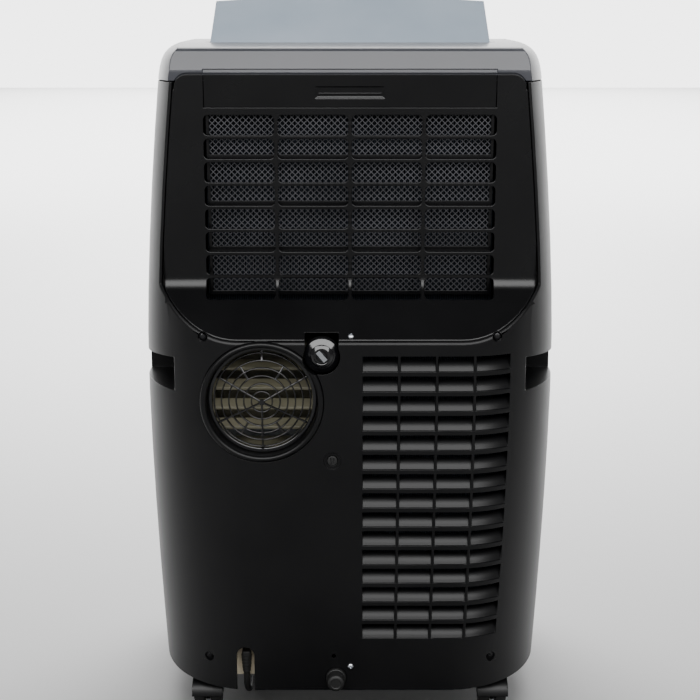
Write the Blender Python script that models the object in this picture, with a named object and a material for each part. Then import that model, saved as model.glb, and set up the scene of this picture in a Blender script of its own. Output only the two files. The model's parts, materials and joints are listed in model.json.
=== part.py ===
"""Portable air conditioner on casters: moulded cabinet, slide-out filter, top louver flap,
exhaust outlet, drains, blowers, coils, compressor and mains lead.

Metres, +Z up. The rear of the cabinet faces -Y and its front faces +Y. Most lengths along Y are
written as a depth in from the rear face, and an empty at that face carries every piece.
"""

import math

import bmesh
import bpy
from mathutils import Matrix, Vector

mm = 0.001

# ---- Driving dimensions ---------------------------------------------------------------------
WIDTH = 460 * mm              # widest, at the belly
DEPTH = 387 * mm              # rear face to front face
HEIGHT = 744 * mm             # floor to the crown of the top cover
WHEEL_RADIUS = 15 * mm        # casters
BASE_Z = 2 * WHEEL_RADIUS + 6 * mm  # underside of the cabinet
BELLY_Z = 390 * mm            # height of the widest section
LOWER_TAPER = 13 * mm         # how much each side draws in at the base
UPPER_TAPER = 24.7 * mm       # and at the crown
FRONT_RAKE = 0.6              # share of the taper that the front face follows
REAR_CORNER = (110 * mm, 130 * mm)
FRONT_CORNER = (138 * mm, 137 * mm)
WALL = 2.5 * mm
SEAM = 1.0 * mm               # open line between two covers
GAP = 0.4 * mm                # clearance of pieces that only touch
SPLIT_DEPTH = 190 * mm        # where the rear and the front covers meet
CAP_REACH = 18 * mm           # how far the lower drain cap stands behind the cabinet

LIP_Z = 432 * mm              # bottom of the sloping ledge, on the rear face
PANEL_DEPTH = 55 * mm         # upper rear panel, in from the rear face
PANEL_WALL = 2.0 * mm
LEDGE_FILLET = 22 * mm
PANEL_TOP = HEIGHT - 30.4 * mm
PANEL_CORNER = 14 * mm
TOP_WALL = 2.8 * mm
SHOULDER_Z = HEIGHT - 42 * mm
BAND_SETBACK = 3.2 * mm       # top cover behind the face of the panel

GRILLE_HALF = 155 * mm        # openings, each side of the middle
GRILLE_TOP = PANEL_TOP - 46.6 * mm
GRILLE_ROWS, GRILLE_COLUMNS = 8, 4
GRILLE_PITCH = 24.9 * mm
GRILLE_BAR = 3.9 * mm

FILTER_TILT = math.radians(4)
FILTER_HALF = 154 * mm
FILTER_STRIP = 38 * mm        # height of the filter's handle strip
FILTER_THICK = 2.2 * mm
FILTER_DROP = 205 * mm        # mesh frame below the handle strip
FILTER_BAR = 5 * mm
FILTER_PROUD = 0.4 * mm       # top edge of the strip behind the face of the panel

LOUVRE_LEFT = 12 * mm
LOUVRE_MARGIN = 57 * mm       # grille's right edge, in from the side
LOUVRE_TOP, LOUVRE_BOTTOM = 420 * mm, 95 * mm
LOUVRE_ROWS, LOUVRE_COLUMNS = 15, 4
LOUVRE_SLOT = 14.5 * mm
LOUVRE_BAR = 3 * mm
LOUVRE_DEPTH = 10 * mm

PORT_X, PORT_Z = -94 * mm, 368 * mm
PORT_RADIUS = 66 * mm
PORT_STEPS = 28
COLLAR_WALL = 6.5 * mm
COLLAR_PROUD = 2.5 * mm
GUARD_RINGS, GUARD_PITCH = 6, 8.8 * mm
GUARD_DEPTH = 13 * mm
DUCT_DEPTH = 29 * mm
DUCT_DROP = 58 * mm           # cream duct's floor below the port's centre

WELL_X, WELL_Z, WELL_RADIUS = -30 * mm, 418 * mm, 19.5 * mm
DRAIN_X, DRAIN_Z, DRAIN_RADIUS = -15.6 * mm, 52 * mm, 11 * mm
BUNG_X, BUNG_Z, BUNG_RADIUS = -19 * mm, 303 * mm, 5.5 * mm
POCKET_X, POCKET_WIDTH, POCKET_TOP = -116 * mm, 19.5 * mm, 87 * mm
POCKET_DEPTH = 32 * mm
DOT_X, DOT_Z, DOT_RADIUS = -18 * mm, 77 * mm, 2.2 * mm
LOWER_SCREW_X, LOWER_SCREW_Z = 0.6 * mm, 65 * mm
BLACK_SCREW_Z = 71 * mm

RECESS_INNER = 42 * mm        # hand recess, in from the side at its rear end
RECESS_SLANT = 11 * mm
RECESS_REAR, RECESS_FRONT = 10 * mm, 140 * mm
RECESS_LOW, RECESS_HIGH = 374 * mm, 413 * mm
RECESS_FALL = 13 * mm

FLAP_HINGE = (120 * mm, HEIGHT - 4.6 * mm)
FLAP_HALF = 152 * mm
FLAP_LENGTH = 84 * mm
FLAP_THICK = 2.6 * mm
PIN_RADIUS = 2 * mm
FLAP_OPEN = math.radians(36)
OUTLET = (126 * mm, 199 * mm)  # depths of the air outlet under the flap
OUTLET_HALF = 146 * mm
VANES = 3
KEYS, KEY_PITCH = 4, 32 * mm

CASTER_X, CASTER_INSET = 162 * mm, 50 * mm
WHEEL_TRAIL = 8 * mm
STEM_RADIUS = 5 * mm

FAN_X, FAN_Z = -42 * mm, 210 * mm
FAN_DEPTHS = (66 * mm, 140 * mm)
FAN_SPIRAL = (92 * mm, 14 * mm, 88, -1)      # base, growth, tongue, side
BLOWER_Z = 565 * mm
BLOWER_DEPTHS = (112 * mm, 196 * mm)
BLOWER_SPIRAL = (90 * mm, 16 * mm, 124, 1)
BLOWER_TOP = BLOWER_Z + 105 * mm
BLADES = 10
SHAFT_RADIUS = 4 * mm
WHEEL_SIZES = {"evaporator": (80 * mm, 56 * mm), "condenser": (82 * mm, 50 * mm)}

CORD_RADIUS = 3.6 * mm
CORD_EXIT = (POCKET_X, 17.5 * mm, 50 * mm)
COIL_RADIUS = 39.6 * mm       # to the middle of the turns
COIL_X, COIL_Y = -70 * mm, DEPTH + 62 * mm
PLUG_HALF, PLUG_HIGH = 13 * mm, 10 * mm

PAD_RISE = HEIGHT - 1.0 * mm  # control panel's rear edge
PAD_FALL = 0.05               # and its slope towards the front
PAD = (258 * mm, 326 * mm)
PAD_HALF = 88 * mm

CORNER_STEPS = 6
ROUND = 16

# ---- Materials ------------------------------------------------------------------------------
FINISHES = {
    "black_cover": ((0.012, 0.012, 0.013), 0.42, 0.0),
    "black_panel": ((0.010, 0.010, 0.011), 0.30, 0.0),
    "top_plastic": ((0.030, 0.030, 0.034), 0.25, 0.0),
    "flap_plastic": ((0.33, 0.38, 0.43), 0.35, 0.0),
    "cream_plastic": ((0.55, 0.52, 0.42), 0.50, 0.0),
    "black_rubber": ((0.015, 0.015, 0.015), 0.75, 0.0),
    "zinc": ((0.70, 0.71, 0.73), 0.30, 1.0),
    "fin_aluminium": ((0.60, 0.63, 0.68), 0.45, 1.0),
    "dark_mesh": ((0.06, 0.06, 0.065), 0.70, 0.0),
    "steel_black": ((0.02, 0.02, 0.022), 0.40, 0.3),
    "copper": ((0.75, 0.40, 0.25), 0.30, 1.0),
    "grey_plastic": ((0.25, 0.26, 0.27), 0.50, 0.0),
    "display": ((0.01, 0.01, 0.02), 0.08, 0.0),
}


def finish(name):
    material = bpy.data.materials.get(name)
    if material is None:
        colour, roughness, metallic = FINISHES[name]
        material = bpy.data.materials.new(name)
        material.use_nodes = True
        shader = material.node_tree.nodes["Principled BSDF"]
        shader.inputs["Base Color"].default_value = (*colour, 1.0)
        shader.inputs["Roughness"].default_value = roughness
        shader.inputs["Metallic"].default_value = metallic
        material.diffuse_color = (*colour, 1.0)
    return material


# ---- Making solids --------------------------------------------------------------------------
def clear_scene():
    for obj in list(bpy.data.objects):
        bpy.data.objects.remove(obj, do_unlink=True)


def place(name, bm, slot=None, at=(0, 0, 0), turn=(0, 0, 0), smooth=None):
    """Makes an object of a bmesh whose coordinates are measured from the point at."""
    bmesh.ops.recalc_face_normals(bm, faces=bm.faces)
    mesh = bpy.data.meshes.new(name)
    bm.to_mesh(mesh)
    bm.free()
    obj = bpy.data.objects.new(name, mesh)
    bpy.context.scene.collection.objects.link(obj)
    obj.parent = bpy.data.objects["rear_face"]
    obj.location = at
    obj.rotation_euler = turn
    if slot is None:
        obj.hide_render = True
        obj.display_type = "WIRE"
    else:
        mesh.materials.append(finish(slot))
    if smooth:
        mesh.shade_smooth()
        mesh.set_sharp_from_angle(angle=math.radians(smooth))
    return obj


def combine(obj, other, operation):
    modifier = obj.modifiers.new(f"{operation.lower()}_{other.name}", "BOOLEAN")
    modifier.operation = operation
    modifier.object = other
    modifier.solver = "EXACT"


def cut(obj, *others):
    for other in others:
        combine(obj, other, "DIFFERENCE")


def fuse(obj, *others):
    for other in others:
        combine(obj, other, "UNION")


def trim(obj, other):
    combine(obj, other, "INTERSECT")


def loft(rings):
    """A closed solid through rings of equal length, each a list of (x, y, z)."""
    bm = bmesh.new()
    loops = [[bm.verts.new(point) for point in ring] for ring in rings]
    count = len(loops[0])
    for low, high in zip(loops, loops[1:]):
        for i in range(count):
            j = (i + 1) % count
            bm.faces.new((low[i], low[j], high[j], high[i]))
    bm.faces.new(reversed(loops[0]))
    bm.faces.new(loops[-1])
    return bm


def prism(points, along, low, high):
    """The outline points, in the two axes other than along, extruded from low to high."""
    order = {"X": (2, 0, 1), "Y": (0, 2, 1), "Z": (0, 1, 2)}[along]
    rings = []
    for level in (low, high):
        values = [(a, b, level) for a, b in points]
        rings.append([tuple(value[i] for i in order) for value in values])
    return loft(rings)


def box(x, y, z):
    return prism([(x[0], y[0]), (x[1], y[0]), (x[1], y[1]), (x[0], y[1])], "Z", *z)


def turned(profile, steps=ROUND, axis="Z"):
    """A solid of revolution. The profile is (radius, height) and closes on itself or on the axis."""
    bm = bmesh.new()
    rings = []
    for radius, height in profile:
        if radius == 0:
            rings.append([bm.verts.new((0, 0, height))] * steps)
            continue
        angles = [2 * math.pi * i / steps for i in range(steps)]
        rings.append(
            [bm.verts.new((radius * math.cos(a), radius * math.sin(a), height)) for a in angles]
        )
    hollow = profile[0][0] > 0
    pairs = list(zip(rings, rings[1:] + rings[:1]))
    for low, high in pairs if hollow else pairs[:-1]:
        for i in range(steps):
            j = (i + 1) % steps
            corners = []
            for vert in (low[i], low[j], high[j], high[i]):
                if vert not in corners:
                    corners.append(vert)
            bm.faces.new(corners)
    if axis == "Y":
        bm.transform(Matrix.Rotation(math.radians(90), 4, "X"))
    if axis == "X":
        bm.transform(Matrix.Rotation(math.radians(90), 4, "Y"))
    return bm


def rod(radius, low, high, steps=ROUND, axis="Z"):
    """A cylinder from low to high along its axis. Along Y, low and high are depths."""
    if axis == "Y":
        low, high = -high, -low
    return turned([(0, low), (radius, low), (radius, high), (0, high)], steps, axis)


def merged(*parts):
    """Several bmeshes as one, for a cutter of separate bodies."""
    whole = bmesh.new()
    for part in parts:
        scratch = bpy.data.meshes.new("scratch")
        part.to_mesh(scratch)
        part.free()
        whole.from_mesh(scratch)
        bpy.data.meshes.remove(scratch)
    return whole


def shifted(bm, x=0.0, y=0.0, z=0.0):
    bm.transform(Matrix.Translation((x, y, z)))
    return bm


def arc(centre, radii, start, end, steps):
    points = []
    for i in range(steps + 1):
        angle = math.radians(start + (end - start) * i / steps)
        across, up = radii[0] * math.cos(angle), radii[1] * math.sin(angle)
        points.append((centre[0] + across, centre[1] + up))
    return points


def tube_curve(name, points, radius, slot, sides=2, taper=None):
    """A swept round tube with filled caps through the points."""
    curve = bpy.data.curves.new(name, "CURVE")
    curve.dimensions = "3D"
    curve.bevel_depth = radius
    curve.bevel_resolution = sides
    curve.use_fill_caps = True
    spline = curve.splines.new("POLY")
    spline.points.add(len(points) - 1)
    for i, (spot, point) in enumerate(zip(spline.points, points)):
        spot.co = (*point, 1.0)
        spot.radius = taper[i] if taper else 1.0
    spline.use_smooth = True
    obj = bpy.data.objects.new(name, curve)
    bpy.context.scene.collection.objects.link(obj)
    obj.parent = bpy.data.objects["rear_face"]
    curve.materials.append(finish(slot))
    return obj


def smooth_route(knots, spacing):
    """Points about spacing apart on a Catmull-Rom curve through the knots."""
    knots = [Vector(knot) for knot in knots]
    padded = [2 * knots[0] - knots[1], *knots, 2 * knots[-1] - knots[-2]]
    route = [knots[0]]
    for a, b, c, d in zip(padded, padded[1:], padded[2:], padded[3:]):
        steps = max(1, round((c - b).length / spacing))
        for i in range(1, steps + 1):
            t = i / steps
            point = 2 * b + (c - a) * t + (2 * a - 5 * b + 4 * c - d) * t**2
            route.append((point + (3 * b - a - 3 * c + d) * t**3) / 2)
    return route


# ---- Cabinet form ---------------------------------------------------------------------------
def half_width(z):
    if z < BELLY_Z:
        return WIDTH / 2 - LOWER_TAPER * ((BELLY_Z - z) / (BELLY_Z - BASE_Z)) ** 1.7
    return WIDTH / 2 - UPPER_TAPER * ((z - BELLY_Z) / (HEIGHT - BELLY_Z)) ** 1.6


def front_depth(z):
    return DEPTH - FRONT_RAKE * (WIDTH / 2 - half_width(z))


def rear_depth(x, z, inset=0.0):
    """Depth of the cabinet's rear surface, drawn in by inset, at the place x."""
    across, deep = REAR_CORNER
    past = abs(x) - (half_width(z) - across)
    if past <= 0:
        return inset
    share = min(past / (across - inset), 1.0)
    return deep - (deep - inset) * math.sqrt(1 - share**2)


def rear_path(z, inset):
    """From the left side round the rear to the right side."""
    across, deep = REAR_CORNER
    centre = half_width(z) - across
    radii = (across - inset, deep - inset)
    left = arc((-centre, deep), radii, 180, 270, CORNER_STEPS)
    right = arc((centre, deep), radii, 270, 360, CORNER_STEPS)
    return left + right


def front_path(z, inset):
    """From the right side round the front to the left side."""
    across, deep = FRONT_CORNER
    centre = half_width(z) - across
    radii = (across - inset, deep - inset)
    depth = front_depth(z) - deep
    right = arc((centre, depth), radii, 0, 90, CORNER_STEPS)
    return right + arc((-centre, depth), radii, 90, 180, CORNER_STEPS)


def at_height(path, z):
    return [(x, y, z) for x, y in path]


def cabinet_solid(levels, inset):
    """The full cabinet section at each level, drawn in by inset, a number or one for each level."""
    insets = inset if isinstance(inset, (list, tuple)) else [inset] * len(levels)
    paths = [(rear_path(z, i) + front_path(z, i), z) for z, i in zip(levels, insets)]
    return loft([at_height(path, z) for path, z in paths])


def half_shell(levels, path, split):
    """A wall that follows path, with its two edges at the depth split."""
    rings = []
    for z in levels:
        outer, inner = path(z, 0.0), path(z, WALL)
        outer = [(outer[0][0], split), *outer, (outer[-1][0], split)]
        inner = [(inner[0][0], split), *inner, (inner[-1][0], split)]
        rings.append(at_height(outer + inner[::-1], z))
    return loft(rings)


def levels_between(low, high, count):
    return [low + (high - low) * i / (count - 1) for i in range(count)]


def cover_levels():
    upper = levels_between(BELLY_Z, SHOULDER_Z - SEAM / 2, 4)
    return levels_between(BASE_Z, BELLY_Z, 4) + upper[1:]


def along_rear(start, end, steps, section):
    """A strip that follows the rear surface. The section is (inset, z), and start and end may be
    functions of height."""
    rings = []
    for i in range(steps + 1):
        ring = []
        for inset, z in section:
            left = start(z) if callable(start) else start
            right = end(z) if callable(end) else end
            x = left + (right - left) * i / steps
            ring.append((x, rear_depth(x, z, inset), z))
        rings.append(ring)
    return loft(rings)


# ---- Rear cover -----------------------------------------------------------------------------
def louvre_edge(column, side):
    """The x of a louvre column's edge as a function of height. Side is -1 or +1."""

    def edge(z):
        right = half_width(z) - LOUVRE_MARGIN
        share = (right - LOUVRE_LEFT) / LOUVRE_COLUMNS
        return LOUVRE_LEFT + share * (column + (side + 1) / 2) - side * LOUVRE_BAR / 2

    return edge


def louvre_slots():
    pitch = (LOUVRE_TOP - LOUVRE_BOTTOM) / LOUVRE_ROWS
    slots = []
    for row in range(LOUVRE_ROWS):
        low = LOUVRE_BOTTOM + row * pitch + (pitch - LOUVRE_SLOT) / 2
        section = [
            (-3 * mm, low - 3 * mm),
            (LOUVRE_DEPTH + 1 * mm, low + LOUVRE_DEPTH + 1 * mm),
            (LOUVRE_DEPTH + 1 * mm, low + LOUVRE_DEPTH + 1 * mm + LOUVRE_SLOT * 0.8),
            (-3 * mm, low + LOUVRE_SLOT),
        ]
        for column in range(LOUVRE_COLUMNS):
            steps = 1 if column < 2 else 2
            left, right = louvre_edge(column, -1), louvre_edge(column, 1)
            slots.append(along_rear(left, right, steps, section))
    return merged(*slots)


def louvre_pad():
    """The thick part of the wall that the louvre slots are cut through."""
    edge = 4 * mm
    rings = []
    for z in levels_between(LOUVRE_BOTTOM - edge, LOUVRE_TOP + LOUVRE_DEPTH, 6):
        left, right = LOUVRE_LEFT - edge, half_width(z) - LOUVRE_MARGIN + edge
        across = [left + (right - left) * i / 10 for i in range(11)]
        outer = [(x, rear_depth(x, z, 1.2 * mm)) for x in across]
        inner = [(x, rear_depth(x, z, LOUVRE_DEPTH)) for x in across]
        rings.append(at_height(outer + inner[::-1], z))
    return loft(rings)


def recess_block(side, grow):
    """The space of a hand recess, or with grow the block of material around it."""
    rings = []
    for y, inner, high in (
        (RECESS_REAR - grow, RECESS_INNER, RECESS_HIGH),
        (RECESS_FRONT + grow, RECESS_INNER - RECESS_SLANT, RECESS_HIGH - RECESS_FALL),
    ):
        x_in = side * (WIDTH / 2 - inner - grow)
        x_out = side * (WIDTH / 2 + 30 * mm)
        low = RECESS_LOW - grow
        top = high + grow
        rings.append([(x_in, y, low), (x_out, y, low), (x_out, y, top), (x_in, y, top)])
    return loft(rings)


def screw_station(x, z):
    """Depth of a black screw's head seat at x, z, and the boss and bore that hold it."""
    seat = max(rear_depth(x, z), z - LIP_Z) + 7 * mm
    boss = shifted(rod(7 * mm, 0, seat + 9 * mm, 12, "Y"), x, 0, z)
    wide, narrow, end = 5 * mm, 2 * mm, seat + 8 * mm
    steps = [(0, wide), (wide, wide), (wide, -seat), (narrow, -seat), (narrow, -end), (0, -end)]
    bore = shifted(turned(steps, 12, "Y"), x, 0, z)
    where = f"{x:.3f}_{z:.3f}"
    return seat, place(f"boss_{where}", boss), place(f"bore_{where}", bore)


def upper_notch(set_back=0.0):
    """Everything behind the sloping ledge and the upper panel, and set_back more."""
    far, top = -60 * mm, HEIGHT + 60 * mm
    front, lip = PANEL_DEPTH + set_back, LIP_Z - set_back
    points = [(far, lip + far), (front, lip + front), (front, top), (far, top)]
    return prism(points, "X", -WIDTH, WIDTH)


def pocket_outline():
    radius = POCKET_WIDTH / 2
    top = arc((POCKET_X, POCKET_TOP - radius), (radius, radius), 0, 180, 8)
    return [(POCKET_X - radius, 0.0), (POCKET_X + radius, 0.0), *top]


def screw_places():
    lower = half_width(BLACK_SCREW_Z) - 62 * mm
    upper = half_width(LIP_Z) - 78.5 * mm
    return {
        "cover_screw_left": (-lower, BLACK_SCREW_Z),
        "cover_screw_right": (lower, BLACK_SCREW_Z),
        "panel_screw_left": (-upper, LIP_Z + 8 * mm),
        "panel_screw_right": (upper, LIP_Z + 8 * mm),
    }


def rear_cover():
    levels = cover_levels()
    shell = half_shell(levels, rear_path, SPLIT_DEPTH - SEAM / 2)
    cover = place("rear_cover", shell, "black_cover", smooth=40)
    fuse(cover, place("louvre_pad", louvre_pad()))
    envelope = place("recess_envelope", cabinet_solid(levels, 0.6 * mm))
    for side, word in ((-1, "left"), (1, "right")):
        block = place(f"recess_wall_{word}", recess_block(side, WALL))
        trim(block, envelope)
        fuse(cover, block)
        cut(cover, place(f"recess_{word}", recess_block(side, 0.0)))
    cut(cover, place("upper_notch", upper_notch()), place("louvre_slots", louvre_slots()))
    behind, through = -10 * mm, 12 * mm
    for name, radius, depth, steps, x, z in (
        ("port_hole", PORT_RADIUS + GAP, through, PORT_STEPS, PORT_X, PORT_Z),
        ("well_hole", WELL_RADIUS, through, ROUND, WELL_X, WELL_Z),
        ("bung_seat", BUNG_RADIUS + 3.8 * mm, 1.2 * mm, ROUND, BUNG_X, BUNG_Z),
        ("bung_hole", BUNG_RADIUS + GAP, through, ROUND, BUNG_X, BUNG_Z),
        ("drain_hole", DRAIN_RADIUS + GAP, through, ROUND, DRAIN_X, DRAIN_Z),
        ("dot_hole", DOT_RADIUS, through, 8, DOT_X, DOT_Z),
        ("centre_screw_hole", 1.9 * mm, through, 8, LOWER_SCREW_X, LOWER_SCREW_Z),
    ):
        cut(cover, place(name, shifted(rod(radius, behind, depth, steps, "Y"), x, 0, z)))
    cut(cover, place("well_notch", well_notch()))
    cut(cover, place("pocket_hole", prism(pocket_outline(), "Y", behind, through)))
    return cover


def well_notch():
    """The square notch over the drain knob, through the lip and the foot of the ledge."""
    across = (WELL_X - 17.7 * mm, WELL_X + 17.7 * mm)
    return box(across, (-10 * mm, 24 * mm), (WELL_Z + 6 * mm, LIP_Z + 10 * mm))


# ---- Upper rear panel, filter and top cover ---------------------------------------------------
def upper_rear_panel():
    face, back = PANEL_DEPTH, PANEL_DEPTH + PANEL_WALL
    foot = WALL + SEAM
    slope = PANEL_WALL * math.sqrt(2)
    fillet = []
    for depth, drop in ((face, 0.0), (back, slope)):
        size = LEDGE_FILLET + depth - face
        middle = (depth - size, LIP_Z + depth - drop + size * math.tan(math.radians(22.5)))
        fillet.append(arc(middle, (size, size), -45, 0, 3))
    outer, inner = fillet
    outline = [(foot, LIP_Z + foot), *outer, (face, PANEL_TOP)]
    outline += [(back, PANEL_TOP), *inner[::-1], (foot, LIP_Z + foot - slope)]
    panel = place("upper_rear_panel", prism(outline, "X", -WIDTH / 2, WIDTH / 2), "black_panel")
    levels = levels_between(LIP_Z - 30 * mm, HEIGHT, 6)
    trim(panel, place("panel_envelope", cabinet_solid(levels, WALL + SEAM)))
    trim(panel, place("panel_corners", panel_corners(0.0)))
    bars = place("grille_openings", grille_openings())
    strip_low = PANEL_TOP - FILTER_STRIP - GAP
    strip = box((-FILTER_HALF - GAP, FILTER_HALF + GAP), (0.0, 80 * mm), (strip_low, HEIGHT))
    cut(panel, bars, place("strip_opening", strip), bpy.data.objects["well_notch"])
    return panel


def panel_corners(clearance):
    """A board with the panel's round top corners, bigger by clearance."""
    side = panel_side(SHOULDER_Z) + clearance
    top = PANEL_TOP + clearance
    size = PANEL_CORNER + clearance
    points = [(-WIDTH, 0.3), (WIDTH, 0.3), (WIDTH, SHOULDER_Z - 8 * mm), (side, SHOULDER_Z - 4 * mm)]
    points += arc((side - size, top - size), (size, size), 0, 90, 5)
    points += arc((size - side, top - size), (size, size), 90, 180, 5)
    points += [(-side, SHOULDER_Z - 4 * mm), (-WIDTH, SHOULDER_Z - 8 * mm)]
    return prism(points, "Y", -20 * mm, PANEL_DEPTH + 4.5 * mm)


def panel_side(z):
    """Half the width of the upper panel at a height."""
    across, deep = REAR_CORNER
    inset = WALL + SEAM
    reach = math.sqrt(1 - ((deep - PANEL_DEPTH) / (deep - inset)) ** 2)
    return half_width(z) - across + (across - inset) * reach


def grille_openings():
    column = (2 * GRILLE_HALF + GRILLE_BAR) / GRILLE_COLUMNS
    holes = []
    for row in range(GRILLE_ROWS):
        top = GRILLE_TOP - row * GRILLE_PITCH
        for i in range(GRILLE_COLUMNS):
            left = -GRILLE_HALF + i * column
            across = (left, left + column - GRILLE_BAR)
            holes.append(box(across, (0.0, 80 * mm), (top - GRILLE_PITCH + GRILLE_BAR, top)))
    return merged(*holes)


def filter_cassette():
    """The handle strip and the frame under it, in one tilted plane that clears the panel's bars
    below and the top cover above, and the mesh behind the frame. Both are drawn upright from the
    top edge of the strip and then tilted."""
    at = (0, PANEL_DEPTH - FILTER_PROUD, PANEL_TOP - GAP)
    turn = (FILTER_TILT, 0, 0)
    strip, thick = FILTER_STRIP - GAP, FILTER_THICK
    half, rail = FILTER_HALF - 6 * mm, 9 * mm
    handle = box((-FILTER_HALF, FILTER_HALF), (0.0, thick), (-strip, 0.0))
    frame = place("filter_frame", handle, "black_panel", at, turn)
    rails = box((-half, half), (0.0, thick), (-strip - FILTER_DROP, -strip / 2))
    fuse(frame, place("filter_rails", rails, None, at, turn))
    rows = GRILLE_ROWS // 2
    pitch = (FILTER_DROP - rail) / rows
    windows = []
    for row in range(rows):
        top = -strip - FILTER_BAR - row * pitch
        across = (rail - half, half - rail)
        windows.append(box(across, (-5 * mm, 20 * mm), (top - pitch + FILTER_BAR, top)))
    pull = box((-38 * mm, 38 * mm), (-5 * mm, 1.2 * mm), (-28 * mm, -13 * mm))
    windows = place("filter_windows", merged(*windows), None, at, turn)
    cut(frame, windows, place("filter_pull", pull, None, at, turn))
    layer = (thick + GAP, thick + GAP + 0.6 * mm)
    mesh = box((3 * mm - half, half - 3 * mm), layer, (2 * mm - strip - FILTER_DROP, -strip))
    place("filter_mesh", mesh, "dark_mesh", at, turn)


def crown_outline(drop):
    """The top cover seen from the side, (depth, z), lowered and drawn in by drop. The rear band
    keeps three times that wall, for the recess round the panel's corners."""
    rear = PANEL_DEPTH + BAND_SETBACK + 3 * drop
    crown = [
        (0, -34 * mm), (0, -24 * mm), (2 * mm, -17 * mm), (6.5 * mm, -12.5 * mm), (13 * mm, -9 * mm),
        (23 * mm, -6 * mm), (45 * mm, -3.6 * mm), (80 * mm, -1.6 * mm), (140 * mm, 0),
    ]
    points = [(rear + y, HEIGHT + z - drop) for y, z in crown]
    end, front = PAD[1] + 4 * mm, DEPTH - drop
    points += [(PAD[0] - 12 * mm, PAD_RISE - drop), (end, pad_height(end) - drop)]
    points += [(front - 28 * mm, HEIGHT - 11 * mm - drop), (front - 15 * mm, HEIGHT - 20 * mm - drop)]
    return points + [(front + 5 * mm, HEIGHT - 38 * mm), (front + 5 * mm, BASE_Z), (rear, BASE_Z)]


def pad_height(depth):
    return PAD_RISE - PAD_FALL * (depth - PAD[0] + 12 * mm)


def top_cover():
    steps = [-42, -30, -20, -13, -8, -4, 1]
    draw_in = [0, 0.4, 2.2, 5.5, 10, 17, 30]
    levels = [SHOULDER_Z + SEAM / 2] + [HEIGHT + step * mm for step in steps[1:]]
    insets = [value * mm for value in draw_in]
    cover = place("top_cover", cabinet_solid(levels, insets), "top_plastic", smooth=40)
    trim(cover, place("crown", prism(crown_outline(0.0), "X", -WIDTH, WIDTH)))
    inside = cabinet_solid([SHOULDER_Z - 9 * mm] + levels[1:], [i + TOP_WALL for i in insets])
    hollow = place("top_hollow", inside)
    trim(hollow, place("crown_inside", prism(crown_outline(3 * mm), "X", -WIDTH, WIDTH)))
    cut(cover, hollow)
    notch_half = FILTER_HALF + 1.0 * mm
    rear = PANEL_DEPTH + BAND_SETBACK
    scoop = [
        (rear - 9 * mm, PANEL_TOP - 2 * mm), (rear - 0.2 * mm, PANEL_TOP - 2 * mm),
        (rear - 0.2 * mm, PANEL_TOP + 0.8 * mm), (rear + 1.6 * mm, PANEL_TOP + 4.8 * mm),
        (rear - 9 * mm, PANEL_TOP + 4.8 * mm),
    ]
    cut(cover, place("filter_scoop", prism(scoop, "X", -notch_half, notch_half)))
    cut(cover, place("panel_corners_clear", panel_corners(SEAM)))
    y, z = FLAP_HINGE
    over = HEIGHT + 9 * mm
    side, edge = FLAP_HALF + SEAM, PAD_HALF + GAP
    well = box((-side, side), (y - 4 * mm, y + FLAP_LENGTH + SEAM), (z - 3 * mm, over))
    mouth = box((-OUTLET_HALF, OUTLET_HALF), OUTLET, (SHOULDER_Z - 20 * mm, over))
    pad = box((-edge, edge), (PAD[0] - GAP, PAD[1] + GAP), (SHOULDER_Z, over))
    fuse(cover, place("flap_tray", flap_tray()))
    cut(cover, place("flap_well", well), place("outlet_mouth", mouth), place("pad_opening", pad))
    for side in (-1, 1):
        pin = flap_pin(side, PIN_RADIUS + GAP, 5 * mm)
        cut(cover, place(f"pin_hole_{side}", pin, None, (0, *FLAP_HINGE)))


def flap_tray():
    """The floor under the closed flap, before the outlet is cut through it."""
    y, z = FLAP_HINGE
    side = FLAP_HALF + 7 * mm
    return box((-side, side), (y - 8 * mm, y + FLAP_LENGTH + 4 * mm), (z - 6 * mm, z + 1 * mm))


# ---- Front cover and base ---------------------------------------------------------------------
def front_cover():
    shell = half_shell(cover_levels(), front_path, SPLIT_DEPTH + SEAM / 2)
    place("front_cover", shell, "black_cover", smooth=40)


def caster_places():
    front = front_depth(BASE_Z) - CASTER_INSET
    places = {}
    for row, y in (("rear", CASTER_INSET), ("front", front)):
        places[f"{row}_left"] = (-CASTER_X, y)
        places[f"{row}_right"] = (CASTER_X, y)
    return places


def base_pan():
    low, floor, top = BASE_Z + GAP, BASE_Z + 3 * mm, BASE_Z + 28 * mm
    inset = WALL + 0.6 * mm
    pan = place("base_pan", cabinet_solid([low, top], inset), "steel_black")
    cut(pan, place("pan_hollow", cabinet_solid([floor, top + 5 * mm], inset + 2 * mm)))
    for name, (x, y) in caster_places().items():
        socket = rod(STEM_RADIUS + 4 * mm, low + 0.5 * mm, BASE_Z + 24 * mm, 10)
        bore = rod(STEM_RADIUS + 0.6 * mm, 0, BASE_Z + 20 * mm, 10)
        fuse(pan, place(f"socket_{name}", shifted(socket, x, y)))
        cut(pan, place(f"stem_hole_{name}", shifted(bore, x, y)))
    side = POCKET_WIDTH / 2 + 5 * mm
    across = (POCKET_X - side, POCKET_X + side)
    notch = box(across, (-5 * mm, POCKET_DEPTH + 10 * mm), (0.0, top + 10 * mm))
    drain = shifted(rod(7.4 * mm, -5 * mm, 12 * mm, 12, "Y"), DRAIN_X, 0, DRAIN_Z)
    low_screws = [(x, z) for x, z in screw_places().values() if z < LIP_Z]
    bosses = merged(*[shifted(rod(8 * mm, -5 * mm, 40 * mm, 12, "Y"), x, 0, z) for x, z in low_screws])
    screw = shifted(rod(2.4 * mm, -5 * mm, 12 * mm, 8, "Y"), LOWER_SCREW_X, 0, LOWER_SCREW_Z)
    cut(pan, place("pan_notch", notch), place("pan_drain", drain), place("pan_bosses", bosses))
    cut(pan, place("pan_screw", screw))


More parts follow.
